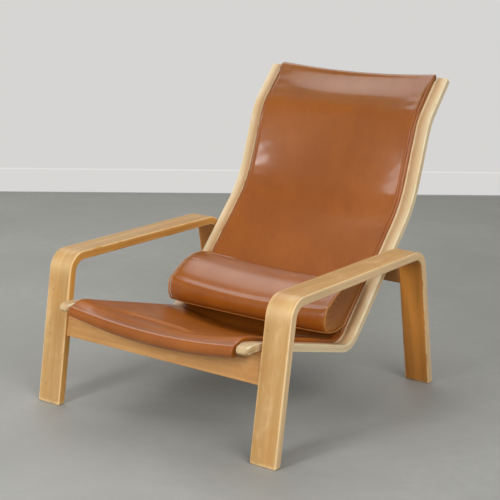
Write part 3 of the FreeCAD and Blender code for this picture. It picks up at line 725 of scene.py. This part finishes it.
class LOUNGECHAIR_OT_rails(bpy.types.Operator):
    """Builds the two curved rails that run from the seat's nose to the top of the back"""

    bl_idname = "lounge_chair.rails"
    bl_label = "Seat Rails"

    # How far apart through one block of veneers the two boards are cut
    veneers_apart = 0.36

    def execute(self, context):
        sizes = context.scene.chair_rails
        inner, thick = sizes.inner_face, sizes.thickness
        outer = inner + sizes.width
        quarter = np.radians(np.linspace(0, 90, 10))
        swing, rounding = 1 - np.cos(quarter), 1 - np.sin(quarter)
        clear_of_nose, clear_of_tail = 0.022, 0.006
        middle = np.linspace(clear_of_nose, rail_line.length - clear_of_tail, 300)
        tail = rail_line.length - sizes.arris * swing[::-1]
        along = np.concatenate([sizes.nose_length * swing, middle, tail])
        nose_inset = 0.5 * thick * rounding**0.8
        inset = np.concatenate([nose_inset, np.zeros(len(middle)), sizes.arris * rounding[::-1]])
        inset = np.minimum(inset, 0.49 * thick)
        nose_softness = 0.0045
        blunt = nose_softness * rise(-along, -0.030, -0.004)
        sections = []
        for depth, softer in zip(inset, blunt):
            remaining = thick - 2 * depth
            radius = min(sizes.arris + softer, 0.48 * remaining)
            margin = 0.3 * (remaining - 2 * radius)
            sides = inner + depth, outer - depth, depth - thick, -depth
            section, worn = rounded_section(*sides, radius, margin)
            sections.append(section)
        sections = np.stack(sections)
        end_wear = 0.2
        wear = np.tile(worn, (len(along), 1))
        wear[inset > 0] = end_wear
        rings = carried_along(rail_line, along[:, None], sections)
        for side, hand in SIDES:
            fields = board_fields(along[:, None], sections + (0, self.veneers_apart * side), wear)
            piece = capped_rings(f"seat_rail_bent_{hand}", rings * (side, 1, 1), fields)
            fit(piece, "chair", "rail_wood", "rail wood", f"seat_rail_{hand}")
        return {"FINISHED"}


class LOUNGECHAIR_OT_joinery(bpy.types.Operator):
    """Finishes the crossrails, stretchers, battens, blocks and dowels"""

    bl_idname = "lounge_chair.joinery"
    bl_label = "Crossrails and Stretchers"

    def execute(self, context):
        dress("front_crossrail", "crossrail wood")
        # Painted shade on the rear crossrail and its dowels
        for node in ("rear_crossrail", "crossrail_dowels"):
            dress(node, "rear crossrail wood in shade")
        for node in (
            "lower_back_stretcher",
            "upper_back_stretcher",
            "sling_batten_left",
            "sling_batten_right",
            "rear_rail_blocks",
        ):
            dress(node, "stretcher wood")
        return {"FINISHED"}


class LOUNGECHAIR_OT_fixings(bpy.types.Operator):
    """Finishes the brackets and screws"""

    bl_idname = "lounge_chair.fixings"
    bl_label = "Brackets and Screws"

    def execute(self, context):
        dress("front_rail_brackets", "plated steel")
        for held in ("bracket", "stretcher", "batten", "rear_block"):
            dress(f"{held}_screws", "plated steel")
        return {"FINISHED"}


def sling_levels(along, sizes):
    """Half width, then outward levels of the sling: top edge, top middle, low middle and low edge.

    The front roll is a half circle over the length. Behind it the top and the low side move by
    smooth steps to the trough that the rails hold. The head is fuller, then nods back to its end.
    """
    roll_top, edge_top, edge_low = 0.0008, 0.008, -0.0015
    roll_sag, top_sag, low_sag = 0.019, 0.028, 0.032
    top_fullness, low_fullness = 0.019, 0.009
    nod_depth, tip_rise = 0.0085, 0.0012
    top_swell, middle_swell, edge_swell = 0.001, 0.005, 0.006
    from_end = along - rail_line.length
    ahead = np.maximum(sizes.roll_centre - along, 0)
    half_roll = np.sqrt(np.maximum(sizes.roll_radius**2 - ahead**2, 0))
    settled = rise(along, sizes.roll_centre, 0.050)
    raised = rise(along, sizes.roll_centre, 0.033)
    head = rise(from_end, -0.26, -0.075)
    nod = nod_depth * rise(from_end, -0.078, -0.006) - tip_rise * rise(from_end, -0.014, 0)
    rolled = rise(from_end, -0.050, 0)
    narrowed = rise(along, 0.055, 0.095) * (1 - rise(from_end, -0.045, -0.012))
    half = sizes.roll_half_width + (sizes.half_width - sizes.roll_half_width) * narrowed
    roll_middle = roll_top - sizes.roll_radius
    top_edge = (1 - settled) * (roll_middle + half_roll) + settled * edge_top
    low_edge = (1 - raised) * (roll_middle - half_roll) + raised * edge_low
    top_middle = top_edge - (1 - settled) * roll_sag - settled * (top_sag - top_fullness * head) - nod
    low_middle = low_edge - (1 - raised) * roll_sag - raised * (low_sag - low_fullness * head)
    top_edge = top_edge + top_swell * rolled
    top_middle = top_middle + top_swell * rolled
    return half, top_edge, top_middle, low_middle - middle_swell * rolled, low_edge - edge_swell * rolled


def sling_top(along, x, sizes):
    """Outward level of the sling's upper face at a length along the rails and a distance across."""
    half, top_edge, top_middle, _, _ = sling_levels(along, sizes)
    across = np.clip(x / half, -1.05, 1.05)
    return top_middle + (top_edge - top_middle) * across**2 + sling_relief(along, across, sizes)


def sling_fold(across):
    """How far along the sling its one low fold lies, and how strong it is there.

    The fold leaves the front roll at the left edge, swings back as one minus a falling
    exponential of the way across, and fades out as it comes forward again.
    """
    furthest_back, swing, swing_start, swing_width, return_forward = 0.157, 0.112, -0.82, 0.17, 0.06
    swung = swing * np.exp(-np.maximum(across - swing_start, 0) / swing_width)
    place = furthest_back - swung - return_forward * rise(across, -0.15, 0.5)
    return place, rise(across, -0.83, -0.62) * rise(-across, -0.42, 0.12)


def sling_relief(along, across, sizes):
    """How far the leather stands above the plain trough.

    The fold stands up with a hollow before it, and a shallow groove follows the front roll.
    Slow sine waves and small gathers beside the edge cords break up the rest.
    """
    ridge_width, hollow_width, hollow_before = 0.009, 0.012, 0.022
    groove_depth, broad_height, narrow_height, gather_height = 0.0010, 0.0009, 0.0005, 0.0005
    fold_at, strength = sling_fold(across)
    fold = bump(along, fold_at, ridge_width) - 0.5 * bump(along, fold_at - hollow_before, hollow_width)
    groove_at = 0.040 + 0.004 * np.sin(3.1 * across + 0.6)
    groove = groove_depth * bump(along, groove_at, 0.012) * (1 - across**6)
    slow = broad_height * np.sin(11 * along + 2.2 * across) * np.cos(2.6 * across + 5 * along)
    slow = slow + narrow_height * np.sin(29 * along - 3.7 * across + 1.0)
    waves = gather_height * np.sin(190 * along + 2 * np.sin(23 * along))
    gathers = waves * rise(np.abs(across), 0.80, 0.97)
    uneven = (slow + gathers) * rise(along, 0.03, 0.09) * (1 - across**8)
    return sizes.crease_height * fold * strength - groove + uneven


class LOUNGECHAIR_OT_sling(bpy.types.Operator):
    """Builds the padded leather sling, its corded edges and the cloth under it"""

    bl_idname = "lounge_chair.sling"
    bl_label = "Leather Sling"

    def execute(self, context):
        sizes = context.scene.chair_sling
        self.build_leather(sizes)
        self.build_cords(sizes)
        self.build_backing(sizes)
        return {"FINISHED"}

    def leather_rings(self, sizes, across):
        """The rings' lengths along the rails, and the X and outward level of their points.

        A ring is a parabola on top, two round edges and a parabola below. Towards the head's
        end it closes as a quarter of an ellipse. The front roll is thinner at its ends, the
        more so at the left one.
        """
        end = rail_line.length + sizes.head_reach
        roll = sizes.roll_centre - sizes.roll_radius * np.cos(np.radians(np.linspace(0, 90, 16)))
        plain = np.linspace(sizes.roll_centre + 0.003, end - sizes.head_round, 300)
        tail = end - sizes.head_round * (1 - np.sin(np.radians(np.linspace(6, 90, 14))))
        along = np.concatenate([roll, plain, tail])[:, None]
        half, top_edge, top_middle, low_middle, low_edge = sling_levels(along, sizes)
        ahead = np.maximum(along - end + sizes.head_round, 0) / sizes.head_round
        closing = np.sqrt(np.clip(1 - ahead**2, 0, 1))
        end_narrowing, edge_radius, left_thinning, right_thinning = 0.004, 0.0030, 0.55, 0.2
        half = half - end_narrowing * (1 - closing)
        edge_middle = (top_edge + low_edge) / 2
        radius = np.minimum(edge_radius, 0.49 * (top_edge - low_edge))
        reach = half - radius
        top = top_middle + (top_edge - top_middle) * across**2 + sling_relief(along, across, sizes)
        low = low_middle + (low_edge - low_middle) * across**2
        thinner = (top_edge - low_edge) / 2 * (1 - rise(along, 0.015, 0.040))
        to_sides = left_thinning * rise(-across, 0.30, 1.0) + right_thinning * rise(across, 0.5, 1.0)
        lift = thinner * to_sides
        low = low + lift
        middle = (top + low) / 2
        top = middle + (top - middle) * closing
        low = middle + (low - middle) * closing
        turn = np.radians(np.array([[72, 54, 36, 18, 0]]))
        round_x = reach + radius * np.cos(turn)
        upper = edge_middle + (top_edge - radius + radius * np.sin(turn) - edge_middle) * closing
        lower = edge_middle + (low_edge + radius - radius * np.sin(turn) - edge_middle) * closing
        right_half = [reach * across, round_x, round_x[:, ::-1]]
        x = np.hstack(right_half + [reach * across[:, ::-1], -round_x, -round_x[:, ::-1]])
        right_lower = lower[:, ::-1] + lift[:, -1:] * closing
        left_lower = lower + lift[:, :1] * closing
        out = np.hstack([top, upper, right_lower, low[:, ::-1], left_lower, upper[:, ::-1]])
        return along, x, out

    def build_leather(self, sizes):
        """The padded leather: its rings carried along the rails, paler on the fold's ridge."""
        across = np.linspace(-1, 1, 81)[None, :]
        along, x, out = self.leather_rings(sizes, across)
        y, z = rail_line.place(np.broadcast_to(along, out.shape), out)
        points = np.stack([x, y, z], axis=-1)
        faces = grid_quads(len(along), x.shape[1], True).tolist()
        fold_at, strength = sling_fold(across)
        # A painted highlight along the fold's ridge, carried in the rubbed field
        ridge_highlight, ridge_width = 0.30, 0.0045
        rubbed = np.zeros(x.shape)
        rubbed[:, : across.shape[1]] = ridge_highlight * strength * bump(along, fold_at, ridge_width)
        piece = add_piece("sling_padded_leather", points, faces, {"rubbed": rubbed.reshape(-1)}, sharp=60.0)
        fit(piece, "chair", "leather", "sling leather", "sling_leather", "sling_foam")

    def build_cords(self, sizes):
        """The corded edges: circles carried along the rails, closed to a point at both ends."""
        radius, level = sizes.cord_diameter / 2, 0.0022
        close = radius * (1 - np.cos(np.radians(np.linspace(12, 90, 7))))
        start, stop, clear = 0.060, rail_line.length - 0.012, 0.007
        middle = np.linspace(start + clear, stop - clear, 260)
        along = np.concatenate([start + close, middle, (stop - close)[::-1]])
        near = np.minimum(along - start, stop - along)
        girth = radius * np.sqrt(1 - (1 - np.clip(near / radius, 0, 1)) ** 2)
        turn = np.radians(np.arange(0, 360, 22.5))[None, :]
        x = sizes.cord_middle + girth[:, None] * np.cos(turn)
        out = level + girth[:, None] * np.sin(turn)
        section = np.stack([x, out], axis=-1)
        rings = carried_along(rail_line, along[:, None], section)
        for side, hand in SIDES:
            piece = capped_rings(f"sling_corded_edge_{hand}", rings * (side, 1, 1), {}, 60.0)
            fit(piece, "chair", "leather", "sling leather", f"sling_edge_cord_{hand}")

    def build_backing(self, sizes):
        """The cloth: the lower face of the sling, narrower by its seams and a little below it."""
        seam, below = 0.0022, 0.0010
        along = np.linspace(0.064, rail_line.length - 0.006, 240)[:, None]
        across = np.linspace(-1, 1, 49)[None, :]
        half, _, _, low_middle, low_edge = sling_levels(along, sizes)
        narrow = np.minimum(half, sizes.half_width) - seam
        out = low_middle + (low_edge - low_middle) * (across * narrow / half) ** 2 - below
        y, z = rail_line.place(np.broadcast_to(along, out.shape), out)
        x = np.broadcast_to(narrow * across, y.shape)
        threads = np.stack([x, np.broadcast_to(along, y.shape), np.zeros(y.shape)], axis=-1)
        faces = grid_quads(len(along), across.shape[1], False)[:, ::-1].tolist()
        points = np.stack([x, y, z], axis=-1)
        fields = {"thread": threads.reshape(-1, 3)}
        piece = add_piece("sling_backing_cloth", points, faces, fields, closed=False)
        fit(piece, "chair", "cloth", "backing cloth", "sling_backing")


# The cushion's outline in its middle, from the corner where the rails turn from seat to back.
# Each line holds the two ends of an arc and the point half way, all in millimetres. The first
# is half an ellipse, the rolled front, and the others are parabolas: the top, the edge at the
# back and the underside.
CUSHION_ARCS = (
    ((-48.2, 34.6), (-69.0, 62.8), (-50.2, 91.0)),
    ((-50.2, 91.0), (30.8, 129.6), (113.8, 120.6)),
    ((113.8, 120.6), (125.8, 115.6), (109.8, 100.6)),
    ((109.8, 100.6), (28.8, 40.6), (-48.2, 34.6)),
)

# How many points each arc gets, and the points where the top begins and ends
CUSHION_POINTS = (18, 34, 8, 36)
TOP_FRONT = CUSHION_POINTS[0]
TOP_BACK = TOP_FRONT + CUSHION_POINTS[1]


def cushion_outline():
    """Points round the cushion: half an ellipse, then parabolas through their ends and half-way points."""
    stretches = []
    for (first, half_way, last), count in zip(CUSHION_ARCS, CUSHION_POINTS):
        first, half_way, last = (np.array(point) / 1000 for point in (first, half_way, last))
        t = (np.arange(count) / count)[:, None]
        if stretches:
            pull = 2 * half_way - (first + last) / 2
            stretches.append((1 - t) ** 2 * first + 2 * t * (1 - t) * pull + t**2 * last)
        else:
            centre = (first + last) / 2
            turn = np.pi * t
            stretches.append(centre + (first - centre) * np.cos(turn) + (half_way - centre) * np.sin(turn))
    return np.vstack(stretches)


class LOUNGECHAIR_OT_cushion(bpy.types.Operator):
    """Builds the loose lumbar cushion with its gusset ends and corded seams"""

    bl_idname = "lounge_chair.cushion"
    bl_label = "Lumbar Cushion"

    # The end seams' places, the rings between them and in each gusset, the puckers round each
    # gusset, and the furthest that the leather may reach to either side
    left = -0.2365
    right = 0.2345
    body_rings = 72
    gusset_rings = 6
    puckers = 27
    furthest = 0.2408

    def execute(self, context):
        sizes = context.scene.chair_cushion
        sling = context.scene.chair_sling
        rings = self.lay_on_sling(self.plain_form(), sling)
        piece, rings = self.settle(rings, sizes, sling)
        covered = "lumbar_cushion_cover", "lumbar_cushion_foam"
        fit(piece, "lumbar_cushion", "leather", "cushion leather", *covered)
        self.build_seams(rings, sizes)
        return {"FINISHED"}

    def plain_form(self):
        """Rings of the outline across the chair, full in the middle and drawn in to its heart at each end."""
        outline = cushion_outline()
        heart = np.array([0.0308, 0.0816])
        corner = np.array([RAIL_CORNERS[2][0] / 1000 + DEPTH_SHIFT, RAIL_CORNERS[2][1] / 1000])
        x = np.linspace(self.left, self.right, self.body_rings)
        middle = (self.left + self.right) / 2
        across = (x - middle) / (self.right - middle)
        end_taper, end_lift, middle_drop, gusset_bulge = 0.045, 0.0125, 0.0035, 0.0045
        scale = 1 - end_taper * across**6
        body = corner + heart + (outline - heart) * scale[:, None, None]
        upper = np.clip((outline[:, 1] - 0.040) / 0.050, 0, 1)
        lift = (end_lift * across**2 - middle_drop)[:, None] * upper
        body[..., 1] += lift
        shrink = np.linspace(1, 0, self.gusset_rings + 1)[1:]
        ends = corner + heart + (outline - heart) * (scale[-1] * shrink)[:, None, None]
        ends[..., 1] += lift[-1] * shrink[:, None]
        bulge = gusset_bulge * (1 - shrink**2)
        points = np.concatenate([ends[::-1], body, ends])
        x = np.concatenate([self.left - bulge[::-1], x, self.right + bulge])
        x = np.broadcast_to(x[:, None], points.shape[:2])
        return np.concatenate([x[..., None], points], axis=-1)

    def lay_on_sling(self, rings, sling):
        """Lifts every point that would sink into the sling to just above it."""
        clearance = 0.0008
        flat = rings.reshape(-1, 3).copy()
        along, out = rail_line.find(flat[:, 1], flat[:, 2])
        floor = sling_top(along, flat[:, 0], sling) + clearance
        under = out < floor
        y, z = rail_line.place(along[under], floor[under])
        flat[under, 1] = y
        flat[under, 2] = z
        return flat.reshape(rings.shape)

    def settle(self, rings, sizes, sling):
        """Lets the cover fill out under pressure with its seams held, and returns the piece and its rings."""
        count, around = rings.shape[:2]
        faces = grid_quads(count, around, True).tolist()
        mesh = bpy.data.meshes.new("cushion cover")
        mesh.from_pydata(rings.reshape(-1, 3).tolist(), [], faces)
        cover = add_object("cushion cover", mesh)
        end_seams = [self.gusset_rings, count - 1 - self.gusset_rings]
        held, nearly_held = 1.0, 0.9
        seams = np.zeros((count, around))
        seams[:, [TOP_FRONT, TOP_BACK]] = nearly_held
        seams[:, 0] = held
        seams[[0, *end_seams, count - 1]] = held
        moved = self.fill_out(cover, seams.ravel(), sizes)
        step = moved - rings.reshape(-1, 3)
        far = np.linalg.norm(step, axis=1, keepdims=True)
        step *= np.minimum(1.0, sizes.reach / np.maximum(far, 1e-9))
        rings = (rings.reshape(-1, 3) + step).reshape(rings.shape)
        bpy.data.objects.remove(cover)
        rings = self.lay_on_sling(self.gather(rings), sling)
        rings[..., 0] = np.clip(rings[..., 0], -self.furthest, self.furthest)
        gusset_wear, seam_wear = 0.15, 0.9
        rubbed = np.zeros((count, around))
        creases = 0.45 + 0.55 * np.sin(self.puckers * np.linspace(0, 2 * np.pi, around, endpoint=False))
        fade = (np.arange(self.gusset_rings + 1) / self.gusset_rings)[:, None] ** 4
        rubbed[: self.gusset_rings + 1] = gusset_wear + fade * creases
        rubbed[-self.gusset_rings - 1 :] = gusset_wear + fade[::-1] * creases
        rubbed[end_seams] = seam_wear
        piece = add_piece("lumbar_cushion_leather", rings, faces, {"rubbed": rubbed.ravel()}, sharp=75.0)
        piece.modifiers.new("smooth", "SUBSURF").levels = 1
        piece.modifiers["smooth"].render_levels = 1
        return piece, rings

    def gather(self, rings):
        """Puckers beside the end seams, and a crease between the rolled front and the top.

        Each point moves in or out from the middle of its ring by a sine of the way
        round, under an exponential of its distance from the nearest end seam. The
        gusset faces take the same sine along the chair's width.
        """
        count, around = rings.shape[:2]
        turn = np.linspace(0, 2 * np.pi, around, endpoint=False)
        inward = np.minimum(rings[..., 0] - self.left, self.right - rings[..., 0])
        wave = np.sin(self.puckers * turn + 1.6 * np.sin(5 * turn)) * (0.55 + 0.45 * np.sin(3 * turn + 1))
        middle = rings.mean(axis=1, keepdims=True)
        away = (rings - middle) * (0, 1, 1)
        away /= np.maximum(np.linalg.norm(away, axis=2, keepdims=True), 1e-6)
        pucker_depth, pucker_reach, crease_depth, gusset_depth = 0.0012, 0.018, 0.0014, 0.0024
        depth = pucker_depth * wave * np.exp(-np.abs(inward) / pucker_reach) * rise(inward, -0.002, 0.0005)
        depth = depth - crease_depth * bump(np.arange(around), TOP_FRONT, 2.6) * rise(inward, 0.0, 0.02)
        rings = rings + away * depth[..., None]
        for ring in range(self.gusset_rings):
            pucker = gusset_depth * wave * (ring / self.gusset_rings) ** 3
            rings[ring, :, 0] -= pucker
            rings[count - 1 - ring, :, 0] += pucker
        return rings

    def fill_out(self, cover, seams, sizes):
        """Cloth simulation with pressure and no gravity; the seams stay where they are."""
        held = cover.vertex_groups.new(name="seams")
        for index in np.nonzero(seams)[0]:
            held.add([int(index)], float(seams[index]), "REPLACE")
        cloth = cover.modifiers.new("cover", "CLOTH")
        leather = cloth.settings
        leather.vertex_group_mass = "seams"
        leather.quality = 6
        leather.mass = 0.25
        leather.tension_stiffness = 25
        leather.compression_stiffness = 25
        leather.bending_stiffness = 1.2
        leather.shrink_min = -sizes.spare_leather
        leather.use_pressure = True
        leather.uniform_pressure_force = sizes.pressure
        leather.effector_weights.gravity = 0
        cloth.collision_settings.use_collision = False
        cloth.point_cache.frame_start = 1
        cloth.point_cache.frame_end = sizes.steps
        scene = bpy.context.scene
        for step in range(1, sizes.steps + 1):
            scene.frame_set(step)
        shape = cover.evaluated_get(bpy.context.evaluated_depsgraph_get()).to_mesh()
        moved = np.empty(len(shape.vertices) * 3)
        shape.vertices.foreach_get("co", moved)
        scene.frame_set(1)
        return moved.reshape(-1, 3)

    def build_seams(self, rings, sizes):
        """Thin corded seams: circles carried round the end seams and along the lower front seam."""
        first, last = self.gusset_rings, len(rings) - 1 - self.gusset_rings
        for ring, side, name in ((first, -1, "left"), (last, 1, "right")):
            path = rings[ring] + 0.4 * sizes.welt * np.array([side, 0, 0])
            piece = self.tube(f"cushion_end_seam_{name}", path, sizes.welt / 2, True, 0.8)
            fit(piece, "lumbar_cushion", "leather", "cushion leather")
        forward_and_down = np.array([0, -0.0012, -0.0012])
        front = rings[first : last + 1, 0] + forward_and_down
        piece = self.tube("cushion_front_seam", front, sizes.welt / 2, False, 0.6)
        fit(piece, "lumbar_cushion", "leather", "cushion leather", "cushion_seam_lip")

    def tube(self, name, path, radius, ring, wear):
        """A tube of circles square to the path, joined end to end if the path is a ring."""
        if ring:
            ahead = np.roll(path, -1, axis=0) - np.roll(path, 1, axis=0)
        else:
            ahead = np.gradient(path, axis=0)
        ahead /= np.linalg.norm(ahead, axis=1, keepdims=True)
        side = np.cross(ahead, (1.0, 0.0, 0.0) if ring else (0.0, 0.0, 1.0))
        side /= np.linalg.norm(side, axis=1, keepdims=True)
        other = np.cross(ahead, side)
        turn = np.radians(np.arange(0, 360, 36))[None, :, None]
        circles = path[:, None] + radius * (np.cos(turn) * side[:, None] + np.sin(turn) * other[:, None])
        if ring:
            circles = np.concatenate([circles, circles[:1]])
        fields = {"rubbed": np.full(circles.shape[:2], wear).ravel()}
        if not ring:
            return capped_rings(name, circles, fields, 60.0)
        return add_piece(name, circles, grid_quads(*circles.shape[:2], True).tolist(), fields, 60.0)


class LOUNGECHAIR_OT_stage(bpy.types.Operator):
    """Sets the floor, the wall, the lights and the camera"""

    bl_idname = "lounge_chair.stage"
    bl_label = "Floor, Lights and Camera"

    def execute(self, context):
        sizes = context.scene.chair_stage
        facing = Matrix.Rotation(sizes.camera_turn + sizes.wall_turn, 4, "Z")
        reach, far, high = 6, sizes.wall_distance, 3.2
        floor = [(-reach, -reach, 0), (reach, -reach, 0), (reach, far, 0), (-reach, far, 0)]
        wall = [(-reach, far, 0), (reach, far, 0), (reach, far, high), (-reach, far, high)]
        self.plane("floor", facing, floor, self.floor_material(sizes))
        self.plane("wall", facing, wall, self.wall_material(sizes))
        self.camera(sizes)
        self.lights()
        return {"FINISHED"}

    def plane(self, name, turn, corners, material):
        """A flat four-sided face of the stage, turned to face the camera."""
        points = np.array([turn @ Vector(corner) for corner in corners])
        piece = add_piece(name, points, [[0, 1, 2, 3]], closed=False)
        piece.data.materials.append(material)

    def floor_material(self, sizes):
        """Smooth painted floor with faint clouding and a few small marks."""
        material, tree, shader = new_material("painted floor", {"Roughness": 0.55})
        place = object_place(tree)
        clouds = patchy(tree, place, 2.0, 0.3, 0.7, detail=5.0, roughness=0.6)
        colour = mix_colours(tree, clouds, toned(sizes.floor, 0.93), toned(sizes.floor, 1.07))
        grit = patchy(tree, place, 26.0, 0.35, 0.65, 0.5, detail=4.0, roughness=0.7)
        colour = mix_colours(tree, grit, colour, toned(sizes.floor, 0.93))
        smeared = {"stretch": (1, 2.5, 1), "detail": 6.0, "roughness": 0.75, "distortion": 1.5}
        marks = patchy(tree, place, 9.0, 0.66, 0.73, 0.5, **smeared)
        colour = mix_colours(tree, marks, colour, toned(sizes.floor, 0.72))
        fill(tree, shader, {"Base Color": colour})
        return material

    def wall_material(self, sizes):
        """Painted wall with a skirting board.

        The camera sees it at its own colour and reflections see it dimmer. It is clear from behind.
        """
        material, tree, shader = new_material("painted wall", {"Roughness": 0.8})
        height = three_parts(tree, object_place(tree))[2]
        colour = sizes.wall
        # The skirting a little paler than the wall, a painted highlight along its top edge and a painted
        # shadow line at the floor
        for operation, numbers, factor in (
            ("LESS_THAN", (0.110,), 1.02),
            ("COMPARE", (0.108, 0.003), 1.14),
            ("LESS_THAN", (0.006,), 0.45),
        ):
            band = calculate(tree, operation, height, *numbers)
            colour = mix_colours(tree, band, colour, toned(sizes.wall, factor))
        fill(tree, shader, {"Base Color": colour})
        rays = add_node(tree, "LightPath").outputs
        strength = calculate(tree, "MULTIPLY_ADD", rays["Is Glossy Ray"], -0.4, 1.0)
        shown = add_node(tree, "Emission", {"Color": colour, "Strength": strength}).outputs[0]
        seen = calculate(tree, "MAXIMUM", rays["Is Camera Ray"], rays["Is Glossy Ray"])
        seen = calculate(tree, "MAXIMUM", seen, rays["Is Transmission Ray"])
        front = mix_shaders(tree, seen, shader.outputs[0], shown)
        clear = add_node(tree, "BsdfTransparent").outputs[0]
        behind = add_node(tree, "NewGeometry").outputs["Backfacing"]
        surface = mix_shaders(tree, behind, front, clear)
        fill(tree, tree.nodes["Material Output"], {"Surface": surface})
        return material

    def camera(self, sizes):
        """The camera: its right, up and back directions from the turn, tilt and roll."""
        turn, tilt, roll = sizes.camera_turn, sizes.camera_tilt, sizes.camera_roll
        level = Vector((math.cos(turn), math.sin(turn), 0))
        back = Vector((math.sin(turn) * math.cos(tilt), -math.cos(turn) * math.cos(tilt), math.sin(tilt)))
        upright = back.cross(level)
        right = level * math.cos(roll) + upright * math.sin(roll)
        up = upright * math.cos(roll) - level * math.sin(roll)
        data = bpy.data.cameras.new("camera")
        data.lens = sizes.lens
        data.sensor_width = 36.0
        camera = add_object("camera", data)
        camera.matrix_world = Matrix([*zip(right, up, back, sizes.camera_place), (0, 0, 0, 1)])
        bpy.context.scene.camera = camera

    # The point that the lamps face, and each lamp's place, width, height and power
    aimed_at = Vector((0, 0, 0.35))
    lamps = (
        ("front", (-0.3, -3.3, 1.7), 0.9, 1.9, 54.0),
        ("low_front", (-0.5, -3.2, 0.9), 0.35, 0.35, 7.0),
        ("left", (-3.0, -1.4, 1.3), 0.8, 1.6, 16.0),
        ("behind_left", (-1.45, 0.95, 2.9), 2.5, 2.3, 36.0),
        ("right", (2.7, -1.45, 2.55), 2.6, 2.6, 70.0),
    )

    def lights(self):
        """Soft lamps: a tall and a small one before the chair, one on each side and one high behind it."""
        for name, place, width, height, power in self.lamps:
            data = bpy.data.lights.new(name, "AREA")
            data.shape = "ELLIPSE"
            data.size = width
            data.size_y = height
            data.energy = power
            lamp = add_object(name, data)
            lamp.location = place
            aim = self.aimed_at - lamp.location
            lamp.rotation_euler = aim.to_track_quat("-Z", "Y").to_euler()
        world = bpy.data.worlds.new("studio")
        world.use_nodes = True
        sky = world.node_tree.nodes["Background"]
        fill(world.node_tree, sky, {"Color": (0.9, 0.9, 0.9), "Strength": 0.33})
        bpy.context.scene.world = world
        bpy.context.scene.view_settings.view_transform = "Standard"


class LOUNGECHAIR_PT_panel(bpy.types.Panel):
    """Lists the chair's pieces and their sizes"""

    bl_idname = "LOUNGECHAIR_PT_panel"
    bl_label = "Lounge Chair"
    bl_space_type = "VIEW_3D"
    bl_region_type = "UI"
    bl_category = "Lounge Chair"

    def draw(self, context):
        for part in ("arms", "rails", "joinery", "fixings", "sling", "cushion", "stage"):
            box = self.layout.box()
            box.operator(f"lounge_chair.{part}")
            settings = getattr(context.scene, f"chair_{part}", None)
            for name in settings.__annotations__ if settings else ():
                box.prop(settings, name)


SETTINGS = {
    "chair_arms": ArmSettings,
    "chair_rails": RailSettings,
    "chair_joinery": JoinerySettings,
    "chair_sling": SlingSettings,
    "chair_cushion": CushionSettings,
    "chair_stage": StageSettings,
}
OPERATORS = (
    LOUNGECHAIR_OT_arms,
    LOUNGECHAIR_OT_rails,
    LOUNGECHAIR_OT_joinery,
    LOUNGECHAIR_OT_fixings,
    LOUNGECHAIR_OT_sling,
    LOUNGECHAIR_OT_cushion,
    LOUNGECHAIR_OT_stage,
)


def register():
    for name, settings in SETTINGS.items():
        bpy.utils.register_class(settings)
        setattr(bpy.types.Scene, name, bpy.props.PointerProperty(type=settings))
    for operator in OPERATORS:
        bpy.utils.register_class(operator)
    bpy.utils.register_class(LOUNGECHAIR_PT_panel)


def unregister():
    bpy.utils.unregister_class(LOUNGECHAIR_PT_panel)
    for operator in reversed(OPERATORS):
        bpy.utils.unregister_class(operator)
    for name, settings in SETTINGS.items():
        delattr(bpy.types.Scene, name)
        bpy.utils.unregister_class(settings)


def main():
    """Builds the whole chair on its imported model."""
    register()
    bpy.ops.lounge_chair.arms()
    bpy.ops.lounge_chair.rails()
    bpy.ops.lounge_chair.joinery()
    bpy.ops.lounge_chair.fixings()
    bpy.ops.lounge_chair.sling()
    bpy.ops.lounge_chair.cushion()
    bpy.ops.lounge_chair.stage()
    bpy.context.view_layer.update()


if __name__ == "__main__":
    main()
